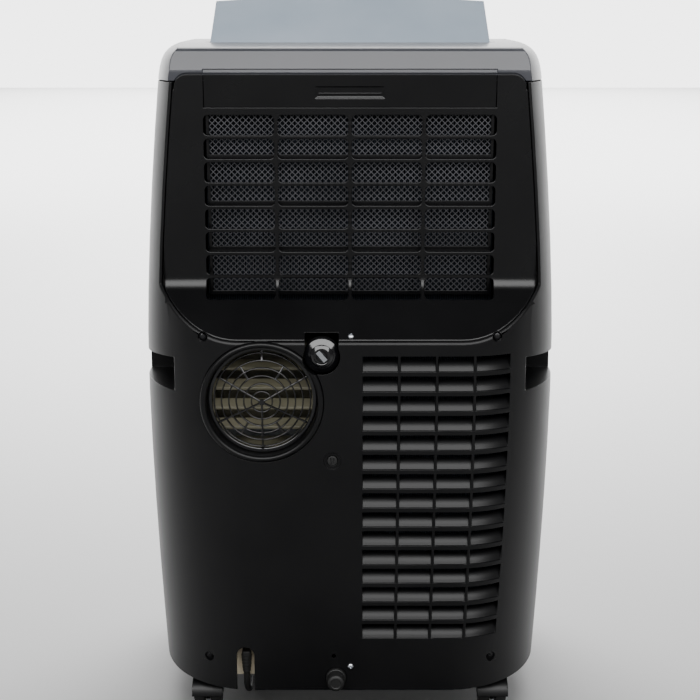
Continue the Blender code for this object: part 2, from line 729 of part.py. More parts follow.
# ---- Louver flap, vanes and control panel -----------------------------------------------------
def louver_flap():
    """Drawn closed, hinge on its own X axis, and then turned open."""
    reach, bow = FLAP_LENGTH - 9 * mm, 8 * mm
    tip = FLAP_HALF - 2 * mm
    edge = []
    for i in range(9):
        share = 1 - 2 * i / 8
        edge.append((share * tip, reach + bow * (1 - share**2)))
    outline = [(-FLAP_HALF, -PIN_RADIUS), (FLAP_HALF, -PIN_RADIUS), *edge]
    flap = place(
        "louver_flap",
        prism(outline, "Z", 0.4 * mm, 0.4 * mm + FLAP_THICK),
        "flap_plastic",
        (0, *FLAP_HINGE),
        (FLAP_OPEN, 0, 0),
    )
    for side in (-1, 1):
        pin = flap_pin(side, PIN_RADIUS, 3.5 * mm)
        fuse(flap, place(f"flap_pin_{side}", pin, None, (0, *FLAP_HINGE), (FLAP_OPEN, 0, 0)))


def flap_pin(side, radius, reach):
    """One of the flap's two hinge pins, from inside its edge to reach past it."""
    low, high = sorted((side * (FLAP_HALF - 12 * mm), side * (FLAP_HALF + reach)))
    return rod(radius, low, high, 12, "X")


def guide_vanes():
    spacing = 2 * OUTLET_HALF / (VANES + 1)
    low, high = OUTLET[0] + 3 * mm, OUTLET[1] - 3 * mm
    for i in range(VANES):
        x = -OUTLET_HALF + spacing * (i + 1)
        blade = box((-1 * mm, 1 * mm), (low, high), (-13 * mm, 13 * mm))
        vane = place(f"guide_vane_{i + 1}", blade, "grey_plastic", (x, 0, HEIGHT - 32 * mm))
        pin = rod(2 * mm, low - 1.5 * mm, high + 1.5 * mm, 8, "Y")
        fuse(vane, place(f"vane_pin_{i + 1}", pin, None, (x, 0, HEIGHT - 32 * mm)))


def outlet_duct():
    """The flared throat from the evaporator blower up to the outlet mouth."""
    base, growth, tongue, _ = BLOWER_SPIRAL
    neck = (base * math.cos(math.radians(tongue)) + 2 * mm, base + growth - 2 * mm)
    low, high = BLOWER_TOP + GAP, HEIGHT - 15 * mm
    wall = 2 * mm
    bottom = (neck, (BLOWER_DEPTHS[0] + wall, BLOWER_DEPTHS[1] - wall))
    mouth = ((-OUTLET_HALF, OUTLET_HALF), OUTLET)

    def ring(sizes, grow, z):
        (x0, x1), (y0, y1) = sizes
        x0, x1, y0, y1 = x0 - grow, x1 + grow, y0 - grow, y1 + grow
        return [(x0, y0, z), (x1, y0, z), (x1, y1, z), (x0, y1, z)]

    bend = HEIGHT - 52 * mm
    duct = place(
        "outlet_duct",
        loft([ring(bottom, wall, low), ring(mouth, wall, bend), ring(mouth, wall, high)]),
        "grey_plastic",
    )
    bore = loft([
        ring(bottom, 0.0, low - 1 * mm),
        ring(bottom, 0.0, low),
        ring(mouth, 0.0, bend),
        ring(mouth, 0.0, high + 1 * mm),
    ])
    cut(duct, place("outlet_bore", bore))


def control_panel():
    half = PAD_HALF
    rear, front = PAD
    thick = 4 * mm
    rise = 0.5 * mm
    side = [
        (rear, pad_height(rear) - thick), (front, pad_height(front) - thick),
        (front, pad_height(front) - rise), (rear, pad_height(rear) - rise),
    ]
    panel = place("control_panel", prism(side, "X", -half, half), "black_panel")
    tilt = (-math.atan(PAD_FALL), 0, 0)
    row = PAD[1] - 20 * mm
    for i in range(KEYS):
        at = ((i - (KEYS - 1) / 2) * KEY_PITCH, row, pad_height(row) - rise)
        hole = place(f"key_hole_{i + 1}", rod(7.1 * mm, -20 * mm, 20 * mm, 12), None, at, tilt)
        cut(panel, hole)
        cap = [
            (0, -5 * mm), (8.2 * mm, -5 * mm), (8.2 * mm, -3.9 * mm), (6.4 * mm, -3.9 * mm),
            (6.4 * mm, 0.9 * mm), (5.6 * mm, 1.5 * mm), (0, 1.7 * mm),
        ]
        place(f"key_{i + 1}", turned(cap, 12), "grey_plastic", at, tilt, smooth=40)
    centre = PAD[0] + 20 * mm
    at = (0, centre, pad_height(centre) - rise)
    pocket = box((-27 * mm, 27 * mm), (-9 * mm, 9 * mm), (-2.4 * mm, 5 * mm))
    cut(panel, place("lens_pocket", pocket, None, at, tilt))
    lens = box((-26.6 * mm, 26.6 * mm), (-8.6 * mm, 8.6 * mm), (-2.0 * mm, 0.2 * mm))
    place("display_lens", lens, "display", at, tilt)


# ---- Exhaust outlet ---------------------------------------------------------------------------
def exhaust_outlet():
    inner = PORT_RADIUS - COLLAR_WALL
    body, end = PORT_RADIUS - 2 * mm, GAP - DUCT_DEPTH
    profile = [
        (inner, COLLAR_PROUD - 1.2 * mm), (inner, end), (body, end), (body, -3 * mm),
        (PORT_RADIUS, -3 * mm), (PORT_RADIUS, COLLAR_PROUD - 1.6 * mm),
        (PORT_RADIUS - 1.6 * mm, COLLAR_PROUD), (inner + 1.2 * mm, COLLAR_PROUD),
    ]
    centre = (PORT_X, 0, PORT_Z)
    collar = turned(profile, PORT_STEPS, "Y")
    collar = place("exhaust_collar", collar, "black_cover", centre, smooth=40)
    clear = rod(WELL_RADIUS + 1.2 * mm, -10 * mm, 60 * mm, ROUND, "Y")
    cut(collar, place("collar_bite", shifted(clear, WELL_X, 0, WELL_Z)))
    exhaust_guard(inner - GAP)


def exhaust_guard(outer):
    """Concentric rings with a thicker rim that reaches the radius outer, a hub and five spokes."""
    at = (PORT_X, GUARD_DEPTH, PORT_Z)
    wide, thick = 1.6 * mm, 2.4 * mm
    rings = []
    for i in range(GUARD_RINGS):
        radius = outer - wide - GUARD_PITCH * (GUARD_RINGS - 1 - i)
        low = radius - wide / 2
        high = outer if i == GUARD_RINGS - 1 else radius + wide / 2
        steps = 16 if i > 1 else 10
        rings.append(turned([(low, -thick), (high, -thick), (high, 0), (low, 0)], steps, "Y"))
    guard = place("exhaust_guard", rings.pop(), "black_panel", at)
    for i, ring in enumerate(rings):
        fuse(guard, place(f"guard_ring_{i}", ring, None, at))
    hub = rod(5 * mm, -0.4 * mm, thick + 0.4 * mm, 10, "Y")
    fuse(guard, place("guard_hub", hub, None, at))
    for i, angle in enumerate((30, 150, 210, 270, 330)):
        spoke = box((0, outer - wide), (0, thick), (-wide / 2, wide / 2))
        fuse(guard, place(f"guard_spoke_{i}", spoke, None, at, (0, -math.radians(angle), 0)))


def exhaust_duct():
    """The cream box behind the guard, open to the rear and down to the condenser blower."""
    half, wall = 55 * mm, 2 * mm
    low, high = PORT_Z - DUCT_DROP, PORT_Z + half
    rear, front = DUCT_DEPTH, FAN_DEPTHS[1]
    across = (PORT_X - half, PORT_X + half)
    duct = place("exhaust_duct", box(across, (rear, front), (low, high)), "cream_plastic")
    inner = (across[0] + wall, across[1] - wall)
    inside = box(inner, (rear - 5 * mm, front - wall), (low + wall, high - wall))
    floor = box(inner, (FAN_DEPTHS[0] + wall, front - wall), (low - 5 * mm, low + 5 * mm))
    cut(duct, place("duct_inside", inside), place("duct_floor", floor))
    start, end = rear + 2 * mm, rear + 14 * mm
    section = [(start, 0), (end, 7 * mm), (end, 10 * mm), (start, 3 * mm)]
    for i in range(4):
        bar = prism(section, "X", across[0] + wall / 2, across[1] - wall / 2)
        fuse(duct, place(f"duct_bar_{i}", shifted(bar, z=low + 20 * mm + i * 22 * mm)))


# ---- Drains, bung and screws ------------------------------------------------------------------
def drains():
    flange = WELL_RADIUS - GAP
    spout = [
        (4.5 * mm, -3 * mm), (4.5 * mm, -58 * mm), (6.5 * mm, -58 * mm), (6.5 * mm, -19 * mm),
        (flange, -19 * mm), (flange, -17 * mm), (6.5 * mm, -17 * mm), (6.5 * mm, -3 * mm),
    ]
    at = (WELL_X, 0, WELL_Z)
    place("upper_drain_spout", turned(spout, ROUND, "Y"), "black_cover", at, smooth=40)
    radius = WELL_RADIUS - 1 * mm
    cap = [
        (0, 0.5 * mm), (radius * 0.55, 0.5 * mm), (radius - 1 * mm, 0), (radius, -1.2 * mm),
        (radius, -9 * mm), (8.6 * mm, -9 * mm), (8.6 * mm, -15 * mm), (7 * mm, -15 * mm),
        (7 * mm, -2.5 * mm), (0, -2.5 * mm),
    ]
    knob = place("upper_drain_cap", turned(cap, ROUND, "Y"), "black_panel", at, smooth=40)
    grip = box((-6.5 * mm, 6.5 * mm), (-3 * mm, 1 * mm), (-2.5 * mm, 2.5 * mm))
    fuse(knob, place("cap_grip", grip, None, at, (0, math.radians(50), 0)))
    at = (DRAIN_X, 0, DRAIN_Z)
    spout = [(4.5 * mm, 4 * mm), (4.5 * mm, -26 * mm), (7 * mm, -26 * mm), (7 * mm, 4 * mm)]
    place("lower_drain_spout", turned(spout, 12, "Y"), "black_cover", at, smooth=40)
    reach, radius = CAP_REACH, DRAIN_RADIUS
    cap = [
        (0, reach), (6 * mm, reach), (radius - 1.6 * mm, reach - 2.5 * mm), (radius - 1 * mm, 4 * mm),
        (radius, 4 * mm), (radius, -1 * mm), (7.5 * mm, -1 * mm), (7.5 * mm, 5 * mm), (0, 5 * mm),
    ]
    place("lower_drain_cap", turned(cap, ROUND, "Y"), "black_rubber", at, smooth=40)
    radius, length = BUNG_RADIUS, 8 * mm
    bung = [(0, -0.3 * mm), (radius - 0.8 * mm, -0.3 * mm), (radius, -1 * mm)]
    bung = turned([*bung, (radius, -length), (0, -length)], ROUND, "Y")
    place("drain_bung", bung, "black_rubber", (BUNG_X, 0, BUNG_Z), smooth=40)


def screw_body(head, rise, shank, length):
    profile = [
        (0, rise), (head * 0.6, rise), (head, rise * 0.35), (head, 0),
        (shank, 0), (shank, -length), (0, -length),
    ]
    return turned(profile, 10, "Y")


def screws(cover, panel):
    behind_ledge = place("behind_ledge", upper_notch(0.7 * mm))
    levels = levels_between(LIP_Z - 30 * mm, LIP_Z + 50 * mm, 3)
    inside = place("boss_envelope", cabinet_solid(levels, WALL + SEAM + 0.6 * mm))
    for name, (x, z) in screw_places().items():
        seat, boss, bore = screw_station(x, z)
        if name.startswith("panel"):
            trim(boss, inside)
            cut(boss, behind_ledge)
            fuse(panel, boss)
            cut(panel, bore)
        else:
            trim(boss, bpy.data.objects["recess_envelope"])
            fuse(cover, boss)
        cut(cover, bore)
        head = screw_body(4.2 * mm, 2.4 * mm, 1.7 * mm, 6.5 * mm)
        place(name, head, "steel_black", (x, seat - 0.3 * mm, z), smooth=40)
    silver = screw_body(3.5 * mm, 2.2 * mm, 1.5 * mm, 8 * mm)
    at = (LOWER_SCREW_X, -0.3 * mm, LOWER_SCREW_Z)
    place("centre_screw_lower", silver, "zinc", at, smooth=40)
    y = 7 * mm
    at = (1 * mm, y - 0.3 * mm, LIP_Z + y + 0.3 * mm)
    turn = (math.radians(-45), 0, 0)
    cut(panel, place("ledge_screw_hole", rod(1.9 * mm, -5 * mm, 9 * mm, 8, "Y"), None, at, turn))
    short = screw_body(3.5 * mm, 2.2 * mm, 1.5 * mm, 6 * mm)
    place("centre_screw_upper", short, "zinc", at, turn, smooth=40)


# ---- Blowers, coils and compressor ------------------------------------------------------------
def scroll(centre, base, growth, tongue, side, top, wall):
    """A blower housing's outline, drawn in by wall: a spiral from the tongue, at an angle in
    degrees, that opens into a straight neck. With side -1 it is mirrored."""
    points = []
    steps = 16
    for i in range(steps + 1):
        angle = math.radians(tongue + (360 - tongue) * i / steps)
        radius = base + growth * i / steps - wall
        points.append((centre[0] + side * radius * math.cos(angle), centre[1] + radius * math.sin(angle)))
    neck = centre[0] + side * (base * math.cos(math.radians(tongue)) + wall)
    return points + [(points[-1][0], top), (neck, top)]


def blower(kind, centre, depths, spiral, top, motor_radius, motor_length):
    wall = 2 * mm
    outer = scroll(centre, *spiral, top, 0.0)
    inner = scroll(centre, *spiral, top + 5 * mm, wall)
    housing = place(f"{kind}_blower_housing", prism(outer, "Y", *depths), "grey_plastic")
    cavity = prism(inner, "Y", depths[0] + wall, depths[1] - wall)
    radius, width = WHEEL_SIZES[kind]
    cut(housing, place(f"{kind}_cavity", cavity))
    for name, size, depth in (("inlet", radius - 12 * mm, depths[0]), ("shaft_hole", 7 * mm, depths[1])):
        hole = rod(size, depth - 5 * mm, depth + 5 * mm, ROUND, "Y")
        cut(housing, place(f"{kind}_{name}", shifted(hole, centre[0], 0, centre[1])))
    middle = (depths[0] + depths[1]) / 2
    blower_wheel(kind, (centre[0], middle, centre[1]), radius, width)
    face, nose = middle - depths[1] - GAP, width / 2 - 12 * mm
    profile = [
        (0, nose), (SHAFT_RADIUS, nose), (SHAFT_RADIUS, face), (motor_radius, face),
        (motor_radius, face - motor_length), (0, face - motor_length),
    ]
    at = (centre[0], middle, centre[1])
    place(f"{kind}_fan_motor", turned(profile, ROUND, "Y"), "steel_black", at, smooth=40)


def blower_wheel(kind, at, radius, width):
    """A squirrel cage: back disc with a bored hub, blades, and a front ring."""
    half = width / 2
    bore = SHAFT_RADIUS + 0.3 * mm
    hub, plate, lip = 11 * mm, 3 * mm, radius - 10 * mm
    disc = [
        (bore, half - 14 * mm), (hub, half - 14 * mm), (hub, plate - half), (radius, plate - half),
        (radius, -half), (bore, -half),
    ]
    wheel = place(f"{kind}_blower_wheel", turned(disc, ROUND, "Y"), "grey_plastic", at, smooth=40)
    rim = [(lip, half - plate), (radius, half - plate), (radius, half), (lip, half)]
    fuse(wheel, place(f"{kind}_rim", turned(rim, ROUND, "Y"), None, at))
    blades = []
    for i in range(BLADES):
        blade = box((-4 * mm, 4 * mm), (-half + 1 * mm, half - 1 * mm), (-0.8 * mm, 0.8 * mm))
        blade.transform(Matrix.Rotation(math.radians(40), 4, "Y"))
        shifted(blade, x=radius - 5.5 * mm)
        blade.transform(Matrix.Rotation(2 * math.pi * (i + 0.5) / BLADES, 4, "Y"))
        blades.append(blade)
    fuse(wheel, place(f"{kind}_blades", merged(*blades), None, at))


def blowers():
    blower("evaporator", (0, BLOWER_Z), BLOWER_DEPTHS, BLOWER_SPIRAL, BLOWER_TOP, 40 * mm, 46 * mm)
    blower("condenser", (FAN_X, FAN_Z), FAN_DEPTHS, FAN_SPIRAL, PORT_Z - DUCT_DROP - GAP, 36 * mm, 38 * mm)


def refrigeration():
    upper = box((-GRILLE_HALF, GRILLE_HALF), (82 * mm, 108 * mm), (BLOWER_Z - 103 * mm, BLOWER_Z + 103 * mm))
    place("evaporator_coil", upper, "fin_aluminium")
    lower = box((8 * mm, 170 * mm), (36 * mm, 62 * mm), (80 * mm, 430 * mm))
    place("condenser_coil", lower, "fin_aluminium")
    tray_levels = [LIP_Z + 10 * mm, LIP_Z + 22 * mm]
    inset, wall, edge, tall = 8 * mm, 2 * mm, 64 * mm, (BASE_Z, HEIGHT)
    tray = place("drip_tray", cabinet_solid(tray_levels, inset), "grey_plastic")
    trim(tray, place("tray_board", box((-WIDTH, WIDTH), (edge, DEPTH), tall)))
    inside = cabinet_solid([LIP_Z + 13 * mm, LIP_Z + 40 * mm], inset + wall)
    hollow = place("tray_hollow", inside)
    trim(hollow, place("tray_inside", box((-WIDTH, WIDTH), (edge + wall, DEPTH), tall)))
    cut(tray, hollow)
    x, y = 95 * mm, 250 * mm
    foot = BASE_Z + 3 * mm + GAP
    seat = foot + 12 * mm
    can = 60 * mm
    shell = [
        (0, seat + GAP), (76 * mm, seat + GAP), (76 * mm, seat + 3 * mm), (can - 2 * mm, seat + 3 * mm),
        (can, seat + 9 * mm), (can, seat + 170 * mm), (can - 8 * mm, seat + 192 * mm),
        (can / 2, seat + 204 * mm), (0, seat + 208 * mm),
    ]
    place("compressor", turned(shell, ROUND), "steel_black", (x, y, 0), smooth=40)
    for i in range(3):
        angle = math.radians(90 + 120 * i)
        spot = (x + 66 * mm * math.cos(angle), y + 66 * mm * math.sin(angle), 0)
        waist = [(0, foot), (9 * mm, foot), (6.5 * mm, foot + 6 * mm), (9 * mm, seat), (0, seat)]
        place(f"compressor_mount_{i + 1}", turned(waist, 10), "black_rubber", spot, smooth=40)
    top = seat + 208.5 * mm
    route = [
        (x, y, top), (x, y, top + 40 * mm), (x + 25 * mm, y - 45 * mm, top + 90 * mm),
        (x + 50 * mm, 120 * mm, 400 * mm), (x + 50 * mm, 62.5 * mm, 405 * mm),
    ]
    tube_curve("discharge_pipe", smooth_route(route, 20 * mm), 4 * mm, "copper")
    board = box((-150 * mm, -70 * mm), (225 * mm, 320 * mm), (230 * mm, 400 * mm))
    crate = place("control_box", board, "grey_plastic")
    soften(crate, 3 * mm)


def soften(obj, width):
    modifier = obj.modifiers.new("rounding", "BEVEL")
    modifier.width = width
    modifier.segments = 2


# ---- Casters ----------------------------------------------------------------------------------
def caster(name, x, y):
    axle = (x, y - WHEEL_TRAIL, WHEEL_RADIUS)
    hood_radius = WHEEL_RADIUS + 3 * mm
    outline = arc((0, 1 * mm), (hood_radius, hood_radius - 1 * mm), 0, 180, 7)
    fork = place(f"caster_fork_{name}", prism(outline, "X", -17.5 * mm, 17.5 * mm), "black_cover", axle)
    fork.location = (x, y, 0)
    fork.data.transform(Matrix.Translation((0, -WHEEL_TRAIL, WHEEL_RADIUS)))
    web = place(f"web_{name}", rod(10 * mm, -2.2 * mm, 2.2 * mm, 8, "X"), None, axle)
    stem = rod(STEM_RADIUS, WHEEL_RADIUS + 12 * mm, BASE_Z + 19 * mm, 8)
    stem = place(f"stem_{name}", stem, None, (x, y, 0))
    room, near, far = WHEEL_RADIUS + 0.8 * mm, 2.7 * mm, 16.2 * mm
    space = merged(rod(room, near, far, 14, "X"), rod(room, -far, -near, 14, "X"))
    fuse(fork, stem, web)
    bore = rod(2.5 * mm, -20 * mm, 20 * mm, 6, "X")
    cut(fork, place(f"wheel_space_{name}", space, None, axle), place(f"axle_bore_{name}", bore, None, axle))
    pin = rod(2.0 * mm, -15.5 * mm, 15.5 * mm, 6, "X")
    wheel = place(f"caster_wheels_{name}", pin, "black_rubber", axle, smooth=40)
    radius, edge = WHEEL_RADIUS, 1.2 * mm
    for side in (-1, 1):
        low, high = sorted((side * 3.2 * mm, side * 15.6 * mm))
        tyre = [
            (0, low), (radius - edge, low), (radius, low + edge), (radius, high - edge),
            (radius - edge, high), (0, high),
        ]
        fuse(wheel, place(f"tyre_{name}_{side}", turned(tyre, 14, "X"), None, axle))


# ---- Mains lead -------------------------------------------------------------------------------
CORD_KNOTS = [
    CORD_EXIT,
    (POCKET_X, 18 * mm, 43 * mm),
    (POCKET_X, 21 * mm, 35 * mm),
    (POCKET_X, 28 * mm, 27 * mm),
    (POCKET_X, 40 * mm, 19 * mm),
    (POCKET_X, 56 * mm, 11 * mm),
    (POCKET_X - 1 * mm, 74 * mm, 5.6 * mm),
    (POCKET_X - 2 * mm, 95 * mm, CORD_RADIUS),
    (POCKET_X - 4 * mm, 140 * mm, CORD_RADIUS),
    (POCKET_X - 1 * mm, 200 * mm, CORD_RADIUS),
    (POCKET_X + 3 * mm, 260 * mm, CORD_RADIUS),
    (POCKET_X + 1 * mm, 330 * mm, CORD_RADIUS),
    (COIL_X - COIL_RADIUS - 2 * CORD_RADIUS, COIL_Y - 48 * mm, CORD_RADIUS),
    (COIL_X - COIL_RADIUS - 2 * CORD_RADIUS, COIL_Y - 31 * mm, CORD_RADIUS),
]


def mains_lead():
    tube_curve("cord_tube", smooth_route(CORD_KNOTS, 18 * mm), CORD_RADIUS, "black_rubber")
    inner, outer = COIL_RADIUS - 3 * CORD_RADIUS, COIL_RADIUS + 3 * CORD_RADIUS
    high = 4 * CORD_RADIUS
    edge = 2 * mm
    ring = [
        (inner, edge), (inner + edge, 0), (outer - edge, 0), (outer, edge),
        (outer, high - edge), (outer - edge, high), (inner + edge, high), (inner, high - edge),
    ]
    place("cord_coil", turned(ring, 20), "black_rubber", (COIL_X, COIL_Y, 0), smooth=40)
    back, exit_z = POCKET_DEPTH - 2 * mm, CORD_EXIT[2] + 0.3 * mm
    profile = [(back - 0.5 * mm, 71 * mm), (26 * mm, 71 * mm), (21.5 * mm, 69 * mm), (18.5 * mm, 65 * mm)]
    profile += [(CORD_EXIT[1], 60 * mm), (CORD_EXIT[1], exit_z)]
    relief = [(POCKET_X, depth, z) for depth, z in profile]
    tube_curve("strain_relief", relief, 5 * mm, "black_rubber", 2, [1.2, 1.2, 1.15, 1.1, 1.0, 0.8])
    tall, half = (BASE_Z + 5 * mm, POCKET_TOP + 4 * mm), 14 * mm
    board = box((POCKET_X - half, POCKET_X + half), (back, POCKET_DEPTH), tall)
    lining = place("pocket_lining", board, "cream_plastic")
    for side in (-1, 1):
        x = sorted((POCKET_X + side * (half - 2 * mm), POCKET_X + side * half))
        cheek = box(x, (9 * mm, POCKET_DEPTH - 1 * mm), tall)
        fuse(lining, place(f"pocket_cheek_{side}", cheek))
    plug()


def plug():
    """A moulded plug lying on the floor beside the coil, with its blades towards the cabinet."""
    x = COIL_X + COIL_RADIUS + 3 * CORD_RADIUS + PLUG_HALF + 1 * mm
    at = (x, COIL_Y - 4 * mm, PLUG_HIGH + GAP)
    body = box((-PLUG_HALF, PLUG_HALF), (-29 * mm, 0), (-PLUG_HIGH, PLUG_HIGH))
    body = place("power_plug", body, "black_rubber", at)
    soften(body, 3 * mm)
    sleeve = turned([(0, -1 * mm), (6 * mm, -1 * mm), (4.2 * mm, 22 * mm), (0, 22 * mm)], 12, "Y")
    sleeve.transform(Matrix.Rotation(math.pi, 4, "Z"))
    fuse(body, place("plug_sleeve", sleeve, None, at))
    for side in (-1, 1):
        across = sorted((side * 3.3 * mm, side * 9.7 * mm))
        blade = box(across, (-48 * mm, -27 * mm), (-0.8 * mm, 0.8 * mm))
        fuse(body, place(f"plug_blade_{side}", blade, None, at))


# ---- Assembly ---------------------------------------------------------------------------------
def build():
    clear_scene()
    datum = bpy.data.objects.new("rear_face", None)
    bpy.context.scene.collection.objects.link(datum)
    datum.location = (0, (CAP_REACH - DEPTH) / 2, 0)
    cover = rear_cover()
    panel = upper_rear_panel()
    front_cover()
    top_cover()
    base_pan()
    filter_cassette()
    louver_flap()
    guide_vanes()
    outlet_duct()
    control_panel()
    exhaust_outlet()
    exhaust_duct()
    drains()
    screws(cover, panel)
    blowers()
    refrigeration()
    for name, (x, y) in caster_places().items():
        caster(name, x, y)
    mains_lead()


build()
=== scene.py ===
"""Portable air conditioner seen from behind: its covers, grilles, exhaust, drains, filter, flap,
casters and mains lead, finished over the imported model.

Metres, +Z up. The back of the machine faces -Y. Sizes in millimetres are multiplied by mm, and a
depth is measured in from the rear face.
"""

import json
import math

import bmesh
import bpy
from mathutils import Matrix, Vector


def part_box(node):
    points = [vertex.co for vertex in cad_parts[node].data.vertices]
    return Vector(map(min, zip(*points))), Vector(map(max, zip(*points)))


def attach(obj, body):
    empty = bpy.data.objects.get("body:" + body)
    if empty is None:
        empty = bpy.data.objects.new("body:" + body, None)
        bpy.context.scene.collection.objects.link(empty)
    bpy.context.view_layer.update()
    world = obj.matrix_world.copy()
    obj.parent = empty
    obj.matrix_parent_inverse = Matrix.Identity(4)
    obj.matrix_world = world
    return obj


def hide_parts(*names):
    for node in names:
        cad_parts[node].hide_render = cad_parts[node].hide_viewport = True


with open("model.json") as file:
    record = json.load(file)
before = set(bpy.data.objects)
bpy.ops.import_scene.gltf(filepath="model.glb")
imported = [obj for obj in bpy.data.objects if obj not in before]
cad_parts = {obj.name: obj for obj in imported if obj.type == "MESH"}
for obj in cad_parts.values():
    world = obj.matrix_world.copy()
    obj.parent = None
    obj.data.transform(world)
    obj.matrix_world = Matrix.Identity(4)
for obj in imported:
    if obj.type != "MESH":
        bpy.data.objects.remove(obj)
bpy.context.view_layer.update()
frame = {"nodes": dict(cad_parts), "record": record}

mm = 0.001
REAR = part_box("rear_cover")[0][1]
PLATE = 55 * mm               # upper rear panel, in from the rear face
PANEL_TOP = 709.6 * mm
PORT = (-94 * mm, 368 * mm)   # x and z of the exhaust outlet
KNOB = (-30 * mm, 418 * mm)
BUNG = (-19 * mm, 303 * mm)
DRAIN = (-15.6 * mm, 52 * mm)
POCKET = -116 * mm
HINGE = Vector((0, REAR + 120 * mm, 739.4 * mm))
FLAP_OPEN = math.radians(36)
FILTER_TILT = math.radians(4)


# ---- Camera -----------------------------------------------------------------------------------
def set_camera():
    lens = bpy.data.cameras.new("rear_view")
    lens.lens, lens.sensor_width = 73.75, 36.0
    camera = bpy.data.objects.new("rear_view", lens)
    camera.location = (0, -1.6585, 0.766)
    camera.rotation_euler = (math.radians(77), 0, 0)
    bpy.context.scene.collection.objects.link(camera)
    bpy.context.scene.camera = camera


set_camera()


# ---- Materials --------------------------------------------------------------------------------
def linear(code):
    """An sRGB hex colour as the linear RGBA that a shader takes."""
    parts = [int(code[i:i + 2], 16) / 255 for i in (1, 3, 5)]
    return (*[p / 12.92 if p <= 0.04045 else ((p + 0.055) / 1.055) ** 2.4 for p in parts], 1.0)


def add(tree, kind, settings=None, links=None):
    """Adds a node. A setting names a property, an input or the stops of its blend of colours, and
    a link feeds an input."""
    node = tree.nodes.new(kind)
    for name, value in (settings or {}).items():
        if name == "stops":
            for element, (position, colour) in zip(node.color_ramp.elements, value):
                element.position, element.color = position, colour
        elif isinstance(name, str) and hasattr(node, name):
            setattr(node, name, value)
        else:
            node.inputs[name].default_value = value
    for name, source in (links or {}).items():
        tree.links.new(source, node.inputs[name])
    return node


def blank(name, settings):
    """A material with its shader, tree and object coordinates."""
    material = bpy.data.materials.new(name)
    material.use_nodes = True
    tree = material.node_tree
    shader = tree.nodes["Principled BSDF"]
    for key, value in settings.items():
        shader.inputs[key].default_value = value
    spot = add(tree, "ShaderNodeTexCoord").outputs["Object"]
    return material, tree, shader, spot


def moulded(name, dark, light, rough, grain, depth, settings=None):
    """Injection-moulded plastic or rubber: two near shades, a fine grain of a real size in metres,
    and a gloss that wanders between two values as the moulding and handling leave it."""
    material, tree, shader, spot = blank(name, {"IOR": 1.5, **(settings or {})})
    cloud = add(tree, "ShaderNodeTexNoise", {"Scale": 9.0, "Detail": 3.0}, {"Vector": spot})
    shades = {"stops": [(0.35, linear(dark)), (0.65, linear(light))]}
    tint = add(tree, "ShaderNodeValToRGB", shades, {"Fac": cloud.outputs["Fac"]})
    tree.links.new(tint.outputs["Color"], shader.inputs["Base Color"])
    low, high = rough
    gloss = add(tree, "ShaderNodeMapRange", {"To Min": low, "To Max": high}, {"Value": cloud.outputs["Fac"]})
    tree.links.new(gloss.outputs["Result"], shader.inputs["Roughness"])
    speck = add(tree, "ShaderNodeTexNoise", {"Scale": 1 / grain, "Detail": 1.0}, {"Vector": spot})
    bump = add(tree, "ShaderNodeBump", {"Strength": 0.35, "Distance": depth},
               {"Height": speck.outputs["Fac"]})
    tree.links.new(bump.outputs["Normal"], shader.inputs["Normal"])
    return material


def metal(name, colour, rough, stretch, settings=None):
    """Bare or plated metal with the faint lines of its rolling or turning along one axis."""
    material, tree, shader, spot = blank(name, {"Metallic": 1.0, **(settings or {})})
    shader.inputs["Base Color"].default_value = linear(colour)
    lay = add(tree, "ShaderNodeMapping", {"Scale": stretch}, {"Vector": spot})
    grain = add(tree, "ShaderNodeTexNoise", {"Scale": 900.0, "Detail": 2.0},
                {"Vector": lay.outputs["Vector"]})
    gloss = add(tree, "ShaderNodeMapRange", {"To Min": rough[0], "To Max": rough[1]},
                {"Value": grain.outputs["Fac"]})
    tree.links.new(gloss.outputs["Result"], shader.inputs["Roughness"])
    return material


def finned():
    """Heat exchanger: upright aluminium fins 2 mm apart with a blue water-shedding coat, drawn as stripes on
    one face. The near-black bands are painted shade in the gaps between the fins; the blue-grey bands are the
    coat on the fin edges.
    """
    material, tree, shader, spot = blank("coated_aluminium_fins_painted_gap_shade", {"Metallic": 0.85})
    bands = {"Scale": 1 / (2 * mm) / (2 * math.pi) * 2, "bands_direction": "X"}
    fins = add(tree, "ShaderNodeTexWave", bands, {"Vector": spot})
    # Near-black stop: painted shade between the fins. Blue-grey stop: the fins' coat.
    shades = {"stops": [(0.35, linear("#08090b")), (0.85, linear("#363c45"))]}
    tint = add(tree, "ShaderNodeValToRGB", shades, {"Fac": fins.outputs["Fac"]})
    tree.links.new(tint.outputs["Color"], shader.inputs["Base Color"])
    shader.inputs["Roughness"].default_value = 0.42
    bump = add(tree, "ShaderNodeBump", {"Strength": 1.0, "Distance": 0.8 * mm},
               {"Height": fins.outputs["Fac"]})
    tree.links.new(bump.outputs["Normal"], shader.inputs["Normal"])
    return material


# ABS with a spark-eroded mould texture: a satin black that only glints on edges. The real grain is
# 0.3 mm, drawn at 0.9 mm so that it shows.
SATIN = moulded("abs_spark_eroded_black", "#070708", "#0c0c0d", (0.33, 0.41), 0.9 * mm, 0.04 * mm,
                {"Specular IOR Level": 0.26})
# ABS from a finer mould, a little glossier, as the upper panel and the filter are.
SEMI = moulded("abs_fine_satin_black", "#070708", "#0b0b0c", (0.24, 0.30), 0.7 * mm, 0.02 * mm,
               {"Specular IOR Level": 0.34})
# Polished ABS on the top, which mirrors what is above and behind it.
POLISHED = moulded("abs_polished_black", "#34353a", "#3c3d42", (0.26, 0.32), 3 * mm, 0.01 * mm)
# Blue-grey ABS of the flap, smooth, with a soft sheen.
FLAP_BLUE = moulded("abs_smooth_blue_grey", "#8d99a6", "#98a3af", (0.30, 0.36), 2 * mm, 0.01 * mm)
# Natural ABS, a dull olive cream, inside the exhaust.
CREAM = moulded("abs_natural_cream", "#5b5848", "#716d5c", (0.42, 0.55), 1.5 * mm, 0.05 * mm)
